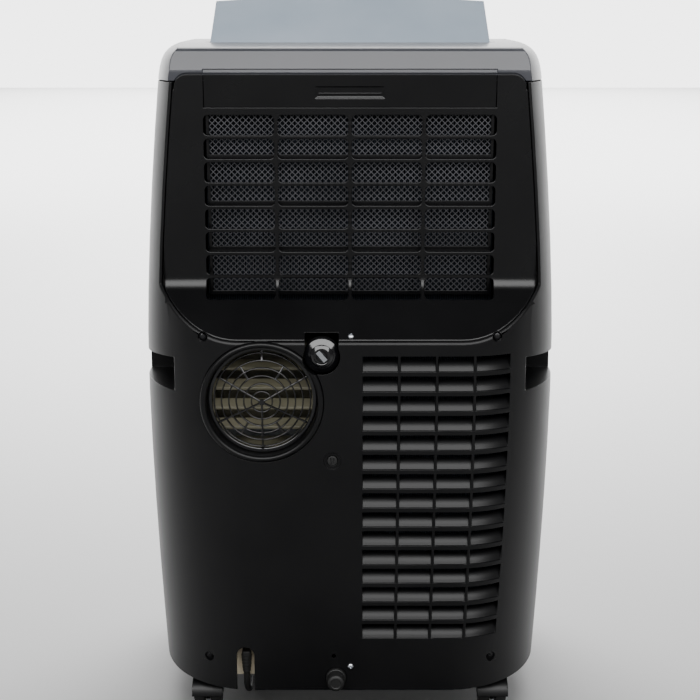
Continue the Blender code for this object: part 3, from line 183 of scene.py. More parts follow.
# Glossy black ABS of the drain knob.
GLOSS = moulded("abs_glossy_black", "#08080a", "#0c0c0e", (0.10, 0.15), 3 * mm, 0.01 * mm, {"IOR": 1.6})
# Natural polystyrene lining of the lead's pocket.
LINING = moulded("polystyrene_beige", "#d6ccb6", "#e2d9c4", (0.42, 0.5), 1.5 * mm, 0.03 * mm)
# Soft PVC and rubber: matt black.
RUBBER = moulded("pvc_soft_black", "#0e0e0e", "#151515", (0.5, 0.62), 0.8 * mm, 0.04 * mm)
# Unpainted grey polypropylene of the inner ducts and the knob's grip.
GREY = moulded("polypropylene_grey", "#6f7174", "#7b7d80", (0.42, 0.52), 1.2 * mm, 0.04 * mm)
# Powder-coated steel of the pan, compressor and motors: fine orange peel.
COATED = moulded("powder_coated_steel_black", "#121213", "#1a1a1c", (0.38, 0.46), 1.6 * mm, 0.08 * mm)
# Woven nylon of the filter, dark grey and slightly shiny.
NYLON = moulded("nylon_filament_grey", "#38383b", "#48484c", (0.38, 0.5), 1.0 * mm, 0.02 * mm)
# Smoked acrylic over the display.
SMOKED = moulded("acrylic_smoked", "#050507", "#08080b", (0.05, 0.09), 5 * mm, 0.005 * mm)
ZINC = metal("steel_bright_zinc", "#c9ccd1", (0.18, 0.32), (1, 1, 1))
COPPER = metal("copper_tube", "#b87352", (0.25, 0.4), (1, 1, 0.1))
FINS = finned()

SLOT_FINISH = {
    "black_cover": SATIN, "black_panel": SEMI, "top_plastic": POLISHED, "flap_plastic": FLAP_BLUE,
    "cream_plastic": CREAM, "black_rubber": RUBBER, "zinc": ZINC, "fin_aluminium": FINS,
    "dark_mesh": NYLON, "steel_black": COATED, "copper": COPPER, "grey_plastic": GREY, "display": SMOKED,
}


def finish_cad_nodes():
    """Every node that stays takes the material of its slot."""
    slots = {part["node"]: part["material_slot"] for part in frame["record"]["subparts"]}
    for name, obj in frame["nodes"].items():
        obj.data.materials.clear()
        obj.data.materials.append(SLOT_FINISH[slots[name]])
    bodies = frame["record"]["behaviour"]["bodies"]
    return slots, {node: body for body, nodes in bodies.items() for node in nodes}


SLOTS, BODY_OF = finish_cad_nodes()


# ---- Modelling tools --------------------------------------------------------------------------
def clear_selection():
    if bpy.context.mode != "OBJECT":
        bpy.ops.object.mode_set(mode="OBJECT")
    bpy.ops.object.select_all(action="DESELECT")


def pick(obj):
    clear_selection()
    obj.select_set(True)
    bpy.context.view_layer.objects.active = obj
    return obj


def started(name, operator, **options):
    """Adds a primitive with nothing else selected, and puts its place in its mesh."""
    clear_selection()
    operator(**options)
    obj = bpy.context.object
    obj.name = obj.data.name = name
    bpy.ops.object.transform_apply(location=True, rotation=True, scale=True)
    return obj


def apply(obj, kind, **settings):
    pick(obj)
    modifier = obj.modifiers.new(kind.lower(), kind)
    for name, value in settings.items():
        setattr(modifier, name, value)
    bpy.ops.object.modifier_apply(modifier=modifier.name)
    return obj


def boolean(obj, other, operation="DIFFERENCE"):
    apply(obj, "BOOLEAN", operation=operation, object=other, solver="EXACT")
    bpy.data.objects.remove(other, do_unlink=True)
    return obj


def drawn(name, points):
    """One vertex of a plane, extruded from point to point."""
    obj = started(name, bpy.ops.mesh.primitive_plane_add, size=1 * mm)
    bpy.ops.object.mode_set(mode="EDIT")
    bpy.ops.mesh.select_mode(type="VERT")
    bpy.ops.mesh.select_all(action="SELECT")
    bpy.ops.mesh.merge(type="CENTER")
    bpy.ops.transform.translate(value=points[0])
    for a, b in zip(points, points[1:]):
        move = {"value": Vector(b) - Vector(a)}
        bpy.ops.mesh.extrude_region_move(TRANSFORM_OT_translate=move)
    return obj


def tidied(obj):
    """Doubles merged and faces turned outwards."""
    bpy.ops.mesh.select_all(action="SELECT")
    bpy.ops.mesh.remove_doubles(threshold=0.002 * mm)
    bpy.ops.mesh.normals_make_consistent(inside=False)
    bpy.ops.object.mode_set(mode="OBJECT")
    return obj


def lathe(name, profile, centre, steps=64, axis="Y"):
    """Draws the profile of (radius, distance along the axis) and spins it once round. A profile
    that returns to its first point makes a ring."""
    along = Vector((0, -1, 0)) if axis == "Y" else Vector((0, 0, 1)) if axis == "Z" else Vector((1, 0, 0))
    out = Vector((0, 0, 1)) if axis == "X" else Vector((1, 0, 0))
    centre = Vector(centre)
    obj = drawn(name, [centre + out * radius + along * far for radius, far in profile])
    bpy.ops.mesh.select_all(action="SELECT")
    bpy.ops.mesh.spin(steps=steps, angle=2 * math.pi, center=centre, axis=along)
    return tidied(obj)


def extruded(name, outline, depth):
    """Fills a flat outline of points and extrudes it by the vector depth."""
    obj = drawn(name, list(outline))
    bpy.ops.mesh.select_all(action="SELECT")
    bpy.ops.mesh.edge_face_add()
    bpy.ops.mesh.extrude_region_move(TRANSFORM_OT_translate={"value": depth})
    return tidied(obj)


def block(name, low, high, rounding=0.0, segments=2):
    """A cube between two corners, with its edges rounded."""
    low, high = Vector(low), Vector(high)
    obj = started(name, bpy.ops.mesh.primitive_cube_add, size=1, location=(low + high) / 2, scale=high - low)
    if rounding:
        bpy.ops.object.mode_set(mode="EDIT")
        bpy.ops.mesh.select_all(action="SELECT")
        bpy.ops.mesh.bevel(offset=rounding, segments=segments, affect="EDGES", clamp_overlap=True)
        bpy.ops.object.mode_set(mode="OBJECT")
    return obj


def joined(name, parts):
    """Several separate solids as one object."""
    clear_selection()
    for part in parts:
        part.select_set(True)
    bpy.context.view_layer.objects.active = parts[0]
    if len(parts) > 1:
        bpy.ops.object.join()
    parts[0].name = parts[0].data.name = name
    return parts[0]


def turned_about(obj, centre, axis, angle):
    """Turns the mesh about a point, with the object left at the origin."""
    centre = Vector(centre)
    turn = Matrix.Translation(centre) @ Matrix.Rotation(angle, 4, axis) @ Matrix.Translation(-centre)
    obj.data.transform(turn)
    obj.data.update()
    return obj


def twin(obj, name, shift):
    """A copy with its own mesh, moved by shift."""
    copy = obj.copy()
    copy.data = obj.data.copy()
    copy.name = copy.data.name = name
    bpy.context.scene.collection.objects.link(copy)
    copy.data.transform(Matrix.Translation(shift))
    copy.data.update()
    return copy


def rounded(obj, width=0.8 * mm, segments=2, angle=32, smooth=40):
    """Breaks the sharp edges and shades the rest smooth."""
    if width:
        apply(obj, "BEVEL", width=width, segments=segments, limit_method="ANGLE",
              angle_limit=math.radians(angle), use_clamp_overlap=False, miter_outer="MITER_SHARP")
    pick(obj)
    bpy.ops.object.shade_smooth_by_angle(angle=math.radians(smooth))
    apply(obj, "WEIGHTED_NORMAL", keep_sharp=True, weight=80)
    return obj


def fitted(obj, material, *nodes, body=None):
    """Gives the piece its material and its body, and lets it stand for the CAD nodes."""
    obj.data.materials.clear()
    obj.data.materials.append(material)
    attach(obj, body or BODY_OF[nodes[0]])
    if nodes:
        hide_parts(*nodes)
    return obj


def refined(node, name, material, width=0.5 * mm, segments=2):
    """A copy of a CAD node with merged corners and broken edges."""
    source = frame["nodes"][node]
    obj = source.copy()
    obj.data = source.data.copy()
    obj.name = obj.data.name = name
    obj.parent = None
    bpy.context.scene.collection.objects.link(obj)
    pick(obj)
    bpy.ops.object.mode_set(mode="EDIT")
    bpy.ops.mesh.select_all(action="SELECT")
    bpy.ops.mesh.remove_doubles(threshold=0.01 * mm)
    bpy.ops.mesh.dissolve_limited(angle_limit=math.radians(0.5))
    bpy.ops.object.mode_set(mode="OBJECT")
    return fitted(rounded(obj, width, segments), material, node)


def place(x, depth, z):
    return Vector((x, REAR + depth, z))


def bow(centre, radii, start, end, steps):
    """Points on an ellipse in any plane, as (across, up) pairs, angles in degrees."""
    turns = [math.radians(start + (end - start) * i / steps) for i in range(steps + 1)]
    return [(centre[0] + radii[0] * math.cos(t), centre[1] + radii[1] * math.sin(t)) for t in turns]


# ---- Mains lead -------------------------------------------------------------------------------
CORD = 3.6 * mm
COIL = (-70 * mm, 449 * mm)
COIL_INNER, COIL_OUTER = 32.4 * mm, 46.8 * mm


def free_lead():
    """From the strain relief down behind the base and along the floor to the coil."""
    knots = [
        (-116, 17.5, 50), (-116, 18, 43), (-116, 21, 35), (-116, 28, 27), (-116, 40, 19), (-116, 56, 11),
        (-117, 74, 5.6), (-118, 95, 3.6), (-120, 140, 3.6), (-117, 200, 3.6), (-113, 260, 3.6),
        (-115, 330, 3.6), (-116.8, 401, 3.6), (-116.8, 418, 3.6),
    ]
    return [place(x * mm, y * mm, z * mm) for x, y, z in knots]


def coiled_lead():
    """Clockwise turns: two inwards on the floor, then outwards on top of them, a diameter apart."""
    points, per_turn = [], 24
    for i in range(int(5.2 * per_turn) + 1):
        t = i / per_turn
        if t < 2:
            radius, z = COIL_OUTER - (COIL_OUTER - COIL_INNER) * t / 2, CORD
        else:
            climb = min((t - 2) / 0.35, 1.0)
            radius = COIL_INNER + (COIL_OUTER - COIL_INNER) * max(0.0, t - 2.35) / 2.9
            z = CORD + 2 * CORD * (3 * climb**2 - 2 * climb**3)
        angle = math.pi - 2 * math.pi * t
        points.append(place(COIL[0] + radius * math.cos(angle), COIL[1] + radius * math.sin(angle), z))
    return points


def lead_to_plug(plug_end):
    """From the coil's far side, straight on and then round into the sleeve of the plug."""
    x, y, z = plug_end
    far = REAR + COIL[1] + COIL_OUTER
    bend = far - y - 4 * mm
    points = [Vector((x - bend - ahead * mm, far, z)) for ahead in (24, 12, 0)]
    for turn in (18, 36, 54, 72, 90):
        angle = math.radians(turn)
        points.append(Vector((x - bend + bend * math.sin(angle), far - bend + bend * math.cos(angle), z)))
    return points + [Vector(plug_end)]


def mains_lead():
    low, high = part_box("power_plug")
    x, z = (low[0] + high[0]) / 2, 10.4 * mm
    plug_end = Vector((x, high[1] - 4 * mm, z))
    route = free_lead() + coiled_lead() + lead_to_plug(plug_end)
    curve = bpy.data.curves.new("mains_cord", "CURVE")
    curve.dimensions = "3D"
    curve.bevel_depth, curve.bevel_resolution, curve.use_fill_caps = CORD, 4, True
    spline = curve.splines.new("NURBS")
    spline.points.add(len(route) - 1)
    for spot, point in zip(spline.points, route):
        spot.co = (*point, 1.0)
    spline.order_u, spline.use_endpoint_u = 3, True
    spline.resolution_u = 3
    cord = bpy.data.objects.new("mains_cord", curve)
    bpy.context.scene.collection.objects.link(cord)
    fitted(cord, RUBBER, "cord_tube", "cord_coil")
    plug = power_plug(low, high)


def power_plug(low, high):
    """A moulded plug with a grip step, a ribbed sleeve and two flat blades."""
    x, z = (low[0] + high[0]) / 2, 10.4 * mm
    back = high[1] - 22 * mm
    body = block("plug_body", (low[0], back - 29 * mm, z - 10 * mm), (high[0], back, z + 10 * mm), 3 * mm, 4)
    step = block("plug_grip", (low[0] + 2 * mm, back - 18 * mm, z - 10.0 * mm),
                 (high[0] - 2 * mm, back + 2 * mm, z + 10.0 * mm), 2 * mm, 3)
    profile = [(0, 2 * mm), (6.6 * mm, 2 * mm)]
    for i in range(5):
        start = -2 * mm - i * 4 * mm
        size = 6.4 * mm - i * 0.4 * mm
        profile += [(size, start + 1 * mm), (size, start - 1.2 * mm),
                    (size - 1.1 * mm, start - 1.4 * mm), (size - 1.1 * mm, start - 2.6 * mm)]
    profile += [(4.4 * mm, -22 * mm), (0, -22 * mm)]
    sleeve = lathe("plug_sleeve", profile, (x, back, z), 32)
    boolean(body, step, "UNION")
    boolean(body, sleeve, "UNION")
    fitted(rounded(body, 0.0), RUBBER, "power_plug")
    body.name = "plug_moulding"
    blades = []
    for side in (-1, 1):
        middle = x + side * 6.5 * mm
        corner = (middle - 3.2 * mm, back - 48 * mm, z - 0.8 * mm)
        blades.append(block("blade", corner, (middle + 3.2 * mm, back - 27 * mm, z + 0.8 * mm), 0.4 * mm))
    blades = fitted(rounded(joined("plug_blades", blades), 0.0), ZINC, body=BODY_OF["power_plug"])
    return body


mains_lead()


# ---- Cabinet form -----------------------------------------------------------------------------
def half_width(z):
    if z < 0.390:
        return 0.230 - 0.013 * ((0.390 - z) / 0.354) ** 1.7
    return 0.230 - 0.0247 * ((z - 0.390) / 0.354) ** 1.6


def rear_depth(x, z, inset=0.0):
    past = abs(x) - (half_width(z) - 0.110)
    if past <= 0:
        return inset
    share = min(past / (0.110 - inset), 1.0)
    return 0.130 - (0.130 - inset) * math.sqrt(1 - share**2)


def rear_line(z, inset, steps=20):
    """Round the rear from the left side to the right, as (x, depth)."""
    centre, radii = half_width(z) - 0.110, (0.110 - inset, 0.130 - inset)
    return bow((-centre, 0.130), radii, 180, 270, steps) + bow((centre, 0.130), radii, 270, 360, steps)


def front_line(z, inset, steps=20):
    """Round the front from the right side to the left."""
    centre, radii = half_width(z) - 0.138, (0.138 - inset, 0.137 - inset)
    middle = 0.387 - 0.6 * (0.230 - half_width(z)) - 0.137
    return bow((centre, middle), radii, 0, 90, steps) + bow((-centre, middle), radii, 90, 180, steps)


def skinned(name, rings):
    """A closed solid through rings of equal length, which no primitive of this form gives."""
    bm = bmesh.new()
    loops = [[bm.verts.new(point) for point in ring] for ring in rings]
    for low, high in zip(loops, loops[1:]):
        for i in range(len(low)):
            j = (i + 1) % len(low)
            bm.faces.new((low[i], low[j], high[j], high[i]))
    bm.faces.new(reversed(loops[0]))
    bm.faces.new(loops[-1])
    bmesh.ops.recalc_face_normals(bm, faces=bm.faces)
    mesh = bpy.data.meshes.new(name)
    bm.to_mesh(mesh)
    bm.free()
    obj = bpy.data.objects.new(name, mesh)
    bpy.context.scene.collection.objects.link(obj)
    return obj


def heights(low, high, count):
    return [low + (high - low) * i / (count - 1) for i in range(count)]


def whole(name, levels, insets, steps=20):
    """The cabinet's full section at each level, drawn in by its inset."""
    rings = []
    for z, inset in zip(levels, insets):
        line = rear_line(z, inset, steps) + front_line(z, inset, steps)
        rings.append([place(x, depth, z) for x, depth in line])
    return skinned(name, rings)


def half_shell(name, line, split):
    """A 2.5 mm wall along one half of the cabinet, up to the joint at the depth split. Its levels
    pass between the louvres, so no seam of the mesh runs beside their edges."""
    bars = [95.85 * mm + 65.01 * mm * i for i in range(6)]
    rings = []
    for z in [36 * mm, 66 * mm, *bars, 470 * mm, 530 * mm, 590 * mm, 650 * mm, 701.5 * mm]:
        outer, inner = line(z, 0.0), line(z, 2.5 * mm)
        ring = [(outer[0][0], split), *outer, (outer[-1][0], split), (inner[-1][0], split)]
        ring += [*inner[::-1], (inner[0][0], split)]
        rings.append([place(x, depth, z) for x, depth in ring])
    return skinned(name, rings)


# ---- Rear cover -------------------------------------------------------------------------------
def louvre_edge(column, side, z):
    share = (half_width(z) - 57 * mm - 12 * mm) / 4
    return 12 * mm + share * (column + (side + 1) / 2) - side * 1.5 * mm


def louvre_cutter(row, column):
    """The space over one slat. The slat starts behind a narrow step and curves from steep at its
    foot to a slope at its top edge."""
    low = 95 * mm + row * (325 / 15) * mm + 3.58 * mm
    face = [(-3.0, -0.3), (0.9, -0.1), (1.8, 2.2), (3.2, 4.8), (5.0, 7.2), (7.2, 9.2), (9.2, 10.4),
            (11.0, 11.0)]
    section = [(d * mm, low + z * mm) for d, z in face]
    section += [(11 * mm, low + 22.6 * mm), (-3 * mm, low + 14.5 * mm)]
    rings = []
    steps = (1, 1, 5, 8)[column]
    for i in range(steps + 1):
        ring = []
        for inset, z in section:
            left, right = louvre_edge(column, -1, z), louvre_edge(column, 1, z)
            x = left + (right - left) * i / steps
            ring.append(place(x, rear_depth(x, z, inset), z))
        rings.append(ring)
    return skinned("louvre_cutter", rings)


def louvre_backing():
    """The thick part of the wall that the louvres are cut through."""
    rings = []
    for z in heights(91 * mm, 430 * mm, 14):
        left, right = 8 * mm, half_width(z) - 53 * mm
        across = [left + (right - left) * i / 24 for i in range(25)]
        ring = [(x, rear_depth(x, z, 1.2 * mm)) for x in across]
        ring += [(x, rear_depth(x, z, 10 * mm)) for x in reversed(across)]
        rings.append([place(x, depth, z) for x, depth in ring])
    return skinned("louvre_backing", rings)


def hand_recess(side, grow):
    """The space of a hand recess, or with grow the material round it."""
    rings = []
    for depth, inner, top in ((10 * mm - grow, 42 * mm, 413 * mm), (140 * mm + grow, 31 * mm, 400 * mm)):
        near, far, low = side * (0.230 - inner - grow), side * 0.260, 374 * mm - grow
        corners = [(near, low), (far, low), (far, top + grow), (near, top + grow)]
        rings.append([place(x, depth, z) for x, z in corners])
    return skinned("hand_recess", rings)


def hole(x, z, radius, depth, steps=48, start=-10 * mm):
    """A round cutter along Y from behind the rear face to the depth."""
    middle = place(x, (start + depth) / 2, z)
    return started("hole", bpy.ops.mesh.primitive_cylinder_add, vertices=steps, radius=radius,
                   depth=depth - start, location=middle, rotation=(math.radians(90), 0, 0))


def above_ledge(set_back):
    """Everything behind the sloping ledge and the upper panel, and set_back more."""
    lip, front = 432 * mm - set_back, PLATE + set_back
    corners = [(-60 * mm, lip - 60 * mm), (front, lip + front), (front, 0.85), (-60 * mm, 0.85)]
    return extruded("above_ledge", [place(-0.3, d, z) for d, z in corners], (0.6, 0, 0))


def screw_spots():
    lower, upper = half_width(71 * mm) - 62 * mm, half_width(432 * mm) - 73 * mm
    return [(-lower, 71 * mm), (lower, 71 * mm), (-upper, 438 * mm), (upper, 438 * mm)]


def screw_bore(x, z):
    """The counterbore of a black screw, its seat 7 mm in from the surface."""
    seat = max(rear_depth(x, z), z - 432 * mm) + 7 * mm
    profile = [(0, 10 * mm), (5 * mm, 10 * mm), (5 * mm, -seat), (2 * mm, -seat),
               (2 * mm, -seat - 8 * mm), (0, -seat - 8 * mm)]
    return lathe("screw_bore", profile, place(x, 0, z), 32)


def screw_boss(x, z, envelope):
    seat = max(rear_depth(x, z), z - 432 * mm) + 7 * mm
    boss = hole(x, z, 7 * mm, seat + 9 * mm, 32, 0.0)
    return boolean(boss, envelope, "INTERSECT")


def pocket_outline(grow=0.0):
    half = 9.75 * mm + grow
    arch = bow((POCKET, 87 * mm - 9.75 * mm), (half, half), 0, 180, 16)
    return [(POCKET - half, 0.0), (POCKET + half, 0.0), *arch]


def rear_cover():
    levels = heights(36 * mm, 701.5 * mm, 15)
    cover = half_shell("rear_shell", rear_line, 189.5 * mm)
    boolean(cover, louvre_backing(), "UNION")
    for side in (-1, 1):
        wall = hand_recess(side, 2.5 * mm)
        boolean(wall, whole("envelope", levels, [0.6 * mm] * 15), "INTERSECT")
        boolean(cover, wall, "UNION")
        boolean(cover, hand_recess(side, 0.0))
    boolean(cover, above_ledge(0.0))
    soften_lip(cover)
    for x, z in screw_spots()[:2]:
        boolean(cover, screw_boss(x, z, whole("envelope", levels, [0.6 * mm] * 15)), "UNION")
    cutters = [louvre_cutter(row, column) for row in range(15) for column in range(4)]
    boolean(cover, joined("louvre_cutters", cutters))
    for x, z in screw_spots():
        boolean(cover, screw_bore(x, z))
    for x, z, radius, depth in (
        (*PORT, 66.4 * mm, 12 * mm), (*KNOB, 19.5 * mm, 12 * mm), (*BUNG, 9.3 * mm, 1.2 * mm),
        (*BUNG, 5.9 * mm, 12 * mm), (*DRAIN, 11.4 * mm, 12 * mm), (-18 * mm, 77 * mm, 2.2 * mm, 12 * mm),
        (0.6 * mm, 65 * mm, 1.9 * mm, 12 * mm),
    ):
        boolean(cover, hole(x, z, radius, depth, 72 if radius > 50 * mm else 40))
    boolean(cover, knob_notch())
    opening = [place(x, -10 * mm, z) for x, z in pocket_outline()]
    boolean(cover, extruded("pocket_opening", opening, (0, 22 * mm, 0)))
    fitted(rounded(cover, 0.7 * mm), SATIN, "rear_cover")


def soften_lip(cover):
    """Rounds the outer edge of the sloping cut, which catches the light as one thin line."""
    def on_lip(v):
        depth = v.co.y - REAR
        flush = abs(depth - rear_depth(v.co.x, v.co.z)) < 0.3 * mm
        return flush and abs(depth - v.co.z + 432 * mm) < 0.02 * mm

    pick(cover)
    bpy.ops.object.mode_set(mode="EDIT")
    bpy.ops.mesh.select_mode(type="EDGE")
    bpy.ops.mesh.select_all(action="DESELECT")
    bpy.ops.object.mode_set(mode="OBJECT")
    for edge in cover.data.edges:
        edge.select = all(on_lip(cover.data.vertices[i]) for i in edge.vertices)
    bpy.ops.object.mode_set(mode="EDIT")
    bpy.ops.mesh.bevel(offset=1.9 * mm, segments=4, affect="EDGES", clamp_overlap=False)
    bpy.ops.mesh.select_mode(type="VERT")
    bpy.ops.object.mode_set(mode="OBJECT")


def knob_notch():
    """The square notch over the drain knob."""
    low = place(KNOB[0] - 17.7 * mm, -10 * mm, KNOB[1] + 6 * mm)
    return block("knob_notch", low, place(KNOB[0] + 17.7 * mm, 24 * mm, 442 * mm))


# ---- Upper rear panel -------------------------------------------------------------------------
def panel_board(grow):
    """A board with the panel's round top corners."""
    reach = math.sqrt(1 - ((130 - 55) / (130 - 3.5)) ** 2)
    side = half_width(702 * mm) - 110 * mm + 106.5 * mm * reach + grow
    top, size = PANEL_TOP + grow, 14 * mm + grow
    outline = [(-0.3, 0.3), (0.3, 0.3), (0.3, 690 * mm), (side, 694 * mm)]
    outline += bow((side - size, top - size), (size, size), 0, 90, 12)
    outline += bow((size - side, top - size), (size, size), 90, 180, 12)
    outline += [(-side, 694 * mm), (-0.3, 690 * mm)]
    return extruded("panel_board", [place(x, -20 * mm, z) for x, z in outline], (0, PLATE + 24.5 * mm, 0))


def grille_cutter():
    """One opening with round corners, copied over the grille."""
    pitch = 313.9 / 4 * mm
    left, top = -155 * mm, 667 * mm
    first = block("grille_opening", place(left, 20 * mm, top - 21 * mm),
                  place(left + pitch - 3.9 * mm, 80 * mm, top))
    bpy.ops.object.mode_set(mode="EDIT")
    bpy.ops.mesh.select_mode(type="EDGE")
    bpy.ops.mesh.select_all(action="DESELECT")
    bpy.ops.object.mode_set(mode="OBJECT")
    for edge in first.data.edges:
        a, b = (first.data.vertices[i].co for i in edge.vertices)
        edge.select = abs(a.y - b.y) > 10 * mm
    bpy.ops.object.mode_set(mode="EDIT")
    bpy.ops.mesh.bevel(offset=4.6 * mm, segments=6, affect="EDGES")
    bpy.ops.object.mode_set(mode="OBJECT")
    cutters = []
    for row in range(8):
        for column in range(4):
            cutters.append(twin(first, "grille_opening", (column * pitch, 0, -row * 24.9 * mm)))
    bpy.data.objects.remove(first, do_unlink=True)
    return joined("grille_cutters", cutters)


def upper_rear_panel():
    outer = bow((33 * mm, 496.11 * mm), (22 * mm, 22 * mm), -45, 0, 10)
    inner = bow((31 * mm + 2 * mm, 496.11 * mm), (24 * mm, 24 * mm), -45, 0, 10)
    outline = [(3.5 * mm, 435.5 * mm), *outer, (PLATE, PANEL_TOP), (PLATE + 2 * mm, PANEL_TOP)]
    outline += [*inner[::-1], (3.5 * mm, 435.5 * mm - 2.83 * mm)]
    panel = extruded("intake_panel", [place(-0.23, d, z) for d, z in outline], (0.46, 0, 0))
    levels = heights(402 * mm, 744 * mm, 12)
    boolean(panel, whole("envelope", levels, [3.5 * mm] * 12), "INTERSECT")
    boolean(panel, panel_board(0.0), "INTERSECT")
    low, high = place(-154.4 * mm, 20 * mm, 675.2 * mm), place(154.4 * mm, 80 * mm, 744 * mm)
    boolean(panel, block("strip_opening", low, high))
    boolean(panel, grille_cutter())
    boolean(panel, knob_notch())
    for x, z in screw_spots()[2:]:
        boss = screw_boss(x, z, whole("envelope", heights(402 * mm, 482 * mm, 4), [4.1 * mm] * 4))
        boolean(boss, above_ledge(0.7 * mm))
        boolean(panel, boss, "UNION")
        boolean(panel, screw_bore(x, z))
    fitted(rounded(panel, 0.9 * mm, 3), SEMI, "upper_rear_panel")


# ---- Top cover and flap -----------------------------------------------------------------------
def crown_profile(drop):
    """The top cover seen from the side, (depth, z), lowered and drawn in by drop."""
    rear = PLATE + 3.2 * mm + 3 * drop
    crown = [(0, -34.5), (0, -30.5), (0.4, -29.4), (7.2, -11.4), (8.0, -9.9), (9.4, -8.8), (12, -7.8),
             (16, -6.9), (22, -6), (32, -4.9), (45, -3.6), (62, -2.5), (80, -1.6), (110, -0.6), (140, 0)]
    points = [(rear + d * mm, (744 + z) * mm - drop) for d, z in crown]
    points += [(246 * mm, 743 * mm - drop), (330 * mm, 738.8 * mm - drop)]
    front = 387 * mm - drop
    points += [(front - 36 * mm, 735.4 * mm - drop), (front - 24 * mm, 731 * mm - drop),
               (front - 14 * mm, 723.5 * mm - drop)]
    return points + [(front + 5 * mm, 706 * mm), (front + 5 * mm, 36 * mm), (rear, 36 * mm)]


def crown_prism(drop):
    return extruded("crown", [place(-0.3, d, z) for d, z in crown_profile(drop)], (0.6, 0, 0))


def top_cover():
    steps = [-41.5, -34, -27, -20.5, -16, -12.5, -9.5, -7, -5, -3, -1, 1]
    draw_in = [0, 0.2, 0.8, 2.1, 3.7, 5.7, 8.2, 11.1, 14.4, 19, 25.5, 32]
    levels = [744 * mm + step * mm for step in steps]
    cover = whole("crown_cover", levels, [value * mm for value in draw_in], 24)
    boolean(cover, crown_prism(0.0), "INTERSECT")
    hollow = whole("crown_hollow", [693 * mm] + levels[1:], [(value + 2.8) * mm for value in draw_in], 12)
    boolean(hollow, crown_prism(3 * mm), "INTERSECT")
    boolean(cover, hollow)
    boolean(cover, filter_scoop())
    boolean(cover, panel_board(1 * mm))
    hinge_depth, hinge_z = 120 * mm, 739.4 * mm
    tray = block("flap_tray", place(-159 * mm, hinge_depth - 8 * mm, hinge_z - 6 * mm),
                 place(159 * mm, 208 * mm, hinge_z + 1 * mm))
    boolean(cover, tray, "UNION")
    for name, x, y, z in (
        ("flap_well", 153 * mm, (116 * mm, 205 * mm), hinge_z - 3 * mm),
        ("outlet_mouth", 146 * mm, (126 * mm, 199 * mm), 682 * mm),
        ("pad_opening", 88.4 * mm, (257.6 * mm, 326.4 * mm), 702 * mm),
    ):
        boolean(cover, block(name, place(-x, y[0], z), place(x, y[1], 760 * mm)))
    for side in (-1, 1):
        spot = HINGE + Vector((side * 148.5 * mm, 0, 0))
        boolean(cover, started("pin_hole", bpy.ops.mesh.primitive_cylinder_add, vertices=24, radius=2.4 * mm,
                               depth=17 * mm, location=spot, rotation=(0, math.radians(90), 0)))
    fitted(rounded(cover, 0.7 * mm, 3), POLISHED, "top_cover")


def filter_scoop():
    """The bright slanted strip over the filter's handle."""
    rear = PLATE + 3.2 * mm
    section = [(rear - 9 * mm, 708 * mm), (rear + 0.2 * mm, 708 * mm), (rear + 0.2 * mm, 710.8 * mm),
               (rear + 2.0 * mm, 714.6 * mm), (rear - 9 * mm, 714.6 * mm)]
    return extruded("filter_scoop", [place(-155 * mm, d, z) for d, z in section], (310 * mm, 0, 0))


def louver_flap():
    """Drawn closed with its free edge bowed, its rim rounded, then turned open about the hinge."""
    edge = []
    for i in range(33):
        share = 1 - 2 * i / 32
        edge.append((share * 150 * mm, 75 * mm + 8 * mm * (1 - share**2)))
    outline = [(-152 * mm, -2 * mm), (152 * mm, -2 * mm), *edge]
    flap = extruded("flap_blade", [HINGE + Vector((x, y, 0.4 * mm)) for x, y in outline], (0, 0, 2.6 * mm))
    for side in (-1, 1):
        spot = HINGE + Vector((side * 147.75 * mm, 0, 0))
        pin = started("pin", bpy.ops.mesh.primitive_cylinder_add, vertices=24, radius=2 * mm,
                      depth=15.5 * mm, location=spot, rotation=(0, math.radians(90), 0))
        boolean(flap, pin, "UNION")
    rounded(flap, 0.7 * mm, 3)
    fitted(turned_about(flap, HINGE, "X", FLAP_OPEN), FLAP_BLUE, "louver_flap")


# ---- Exhaust ----------------------------------------------------------------------------------
def exhaust():
    centre = place(PORT[0], 0, PORT[1])
    arch = bow((62.75 * mm, -0.9 * mm), (3.25 * mm, 3.4 * mm), 0, 180, 10)
    profile = [(59.5 * mm, -28.6 * mm), (64 * mm, -28.6 * mm), (64 * mm, -3 * mm), (66 * mm, -3 * mm),
               *arch, (59.5 * mm, -28.6 * mm)]
    collar = lathe("exhaust_rim", profile, centre, 96)
    boolean(collar, hole(*KNOB, 20.7 * mm, 60 * mm, 40))
    fitted(rounded(collar, 0.0), SATIN, "exhaust_collar")
    guard(place(PORT[0], 1.5 * mm, PORT[1]))
    refined("exhaust_duct", "exhaust_throat", CREAM, 0.6 * mm)


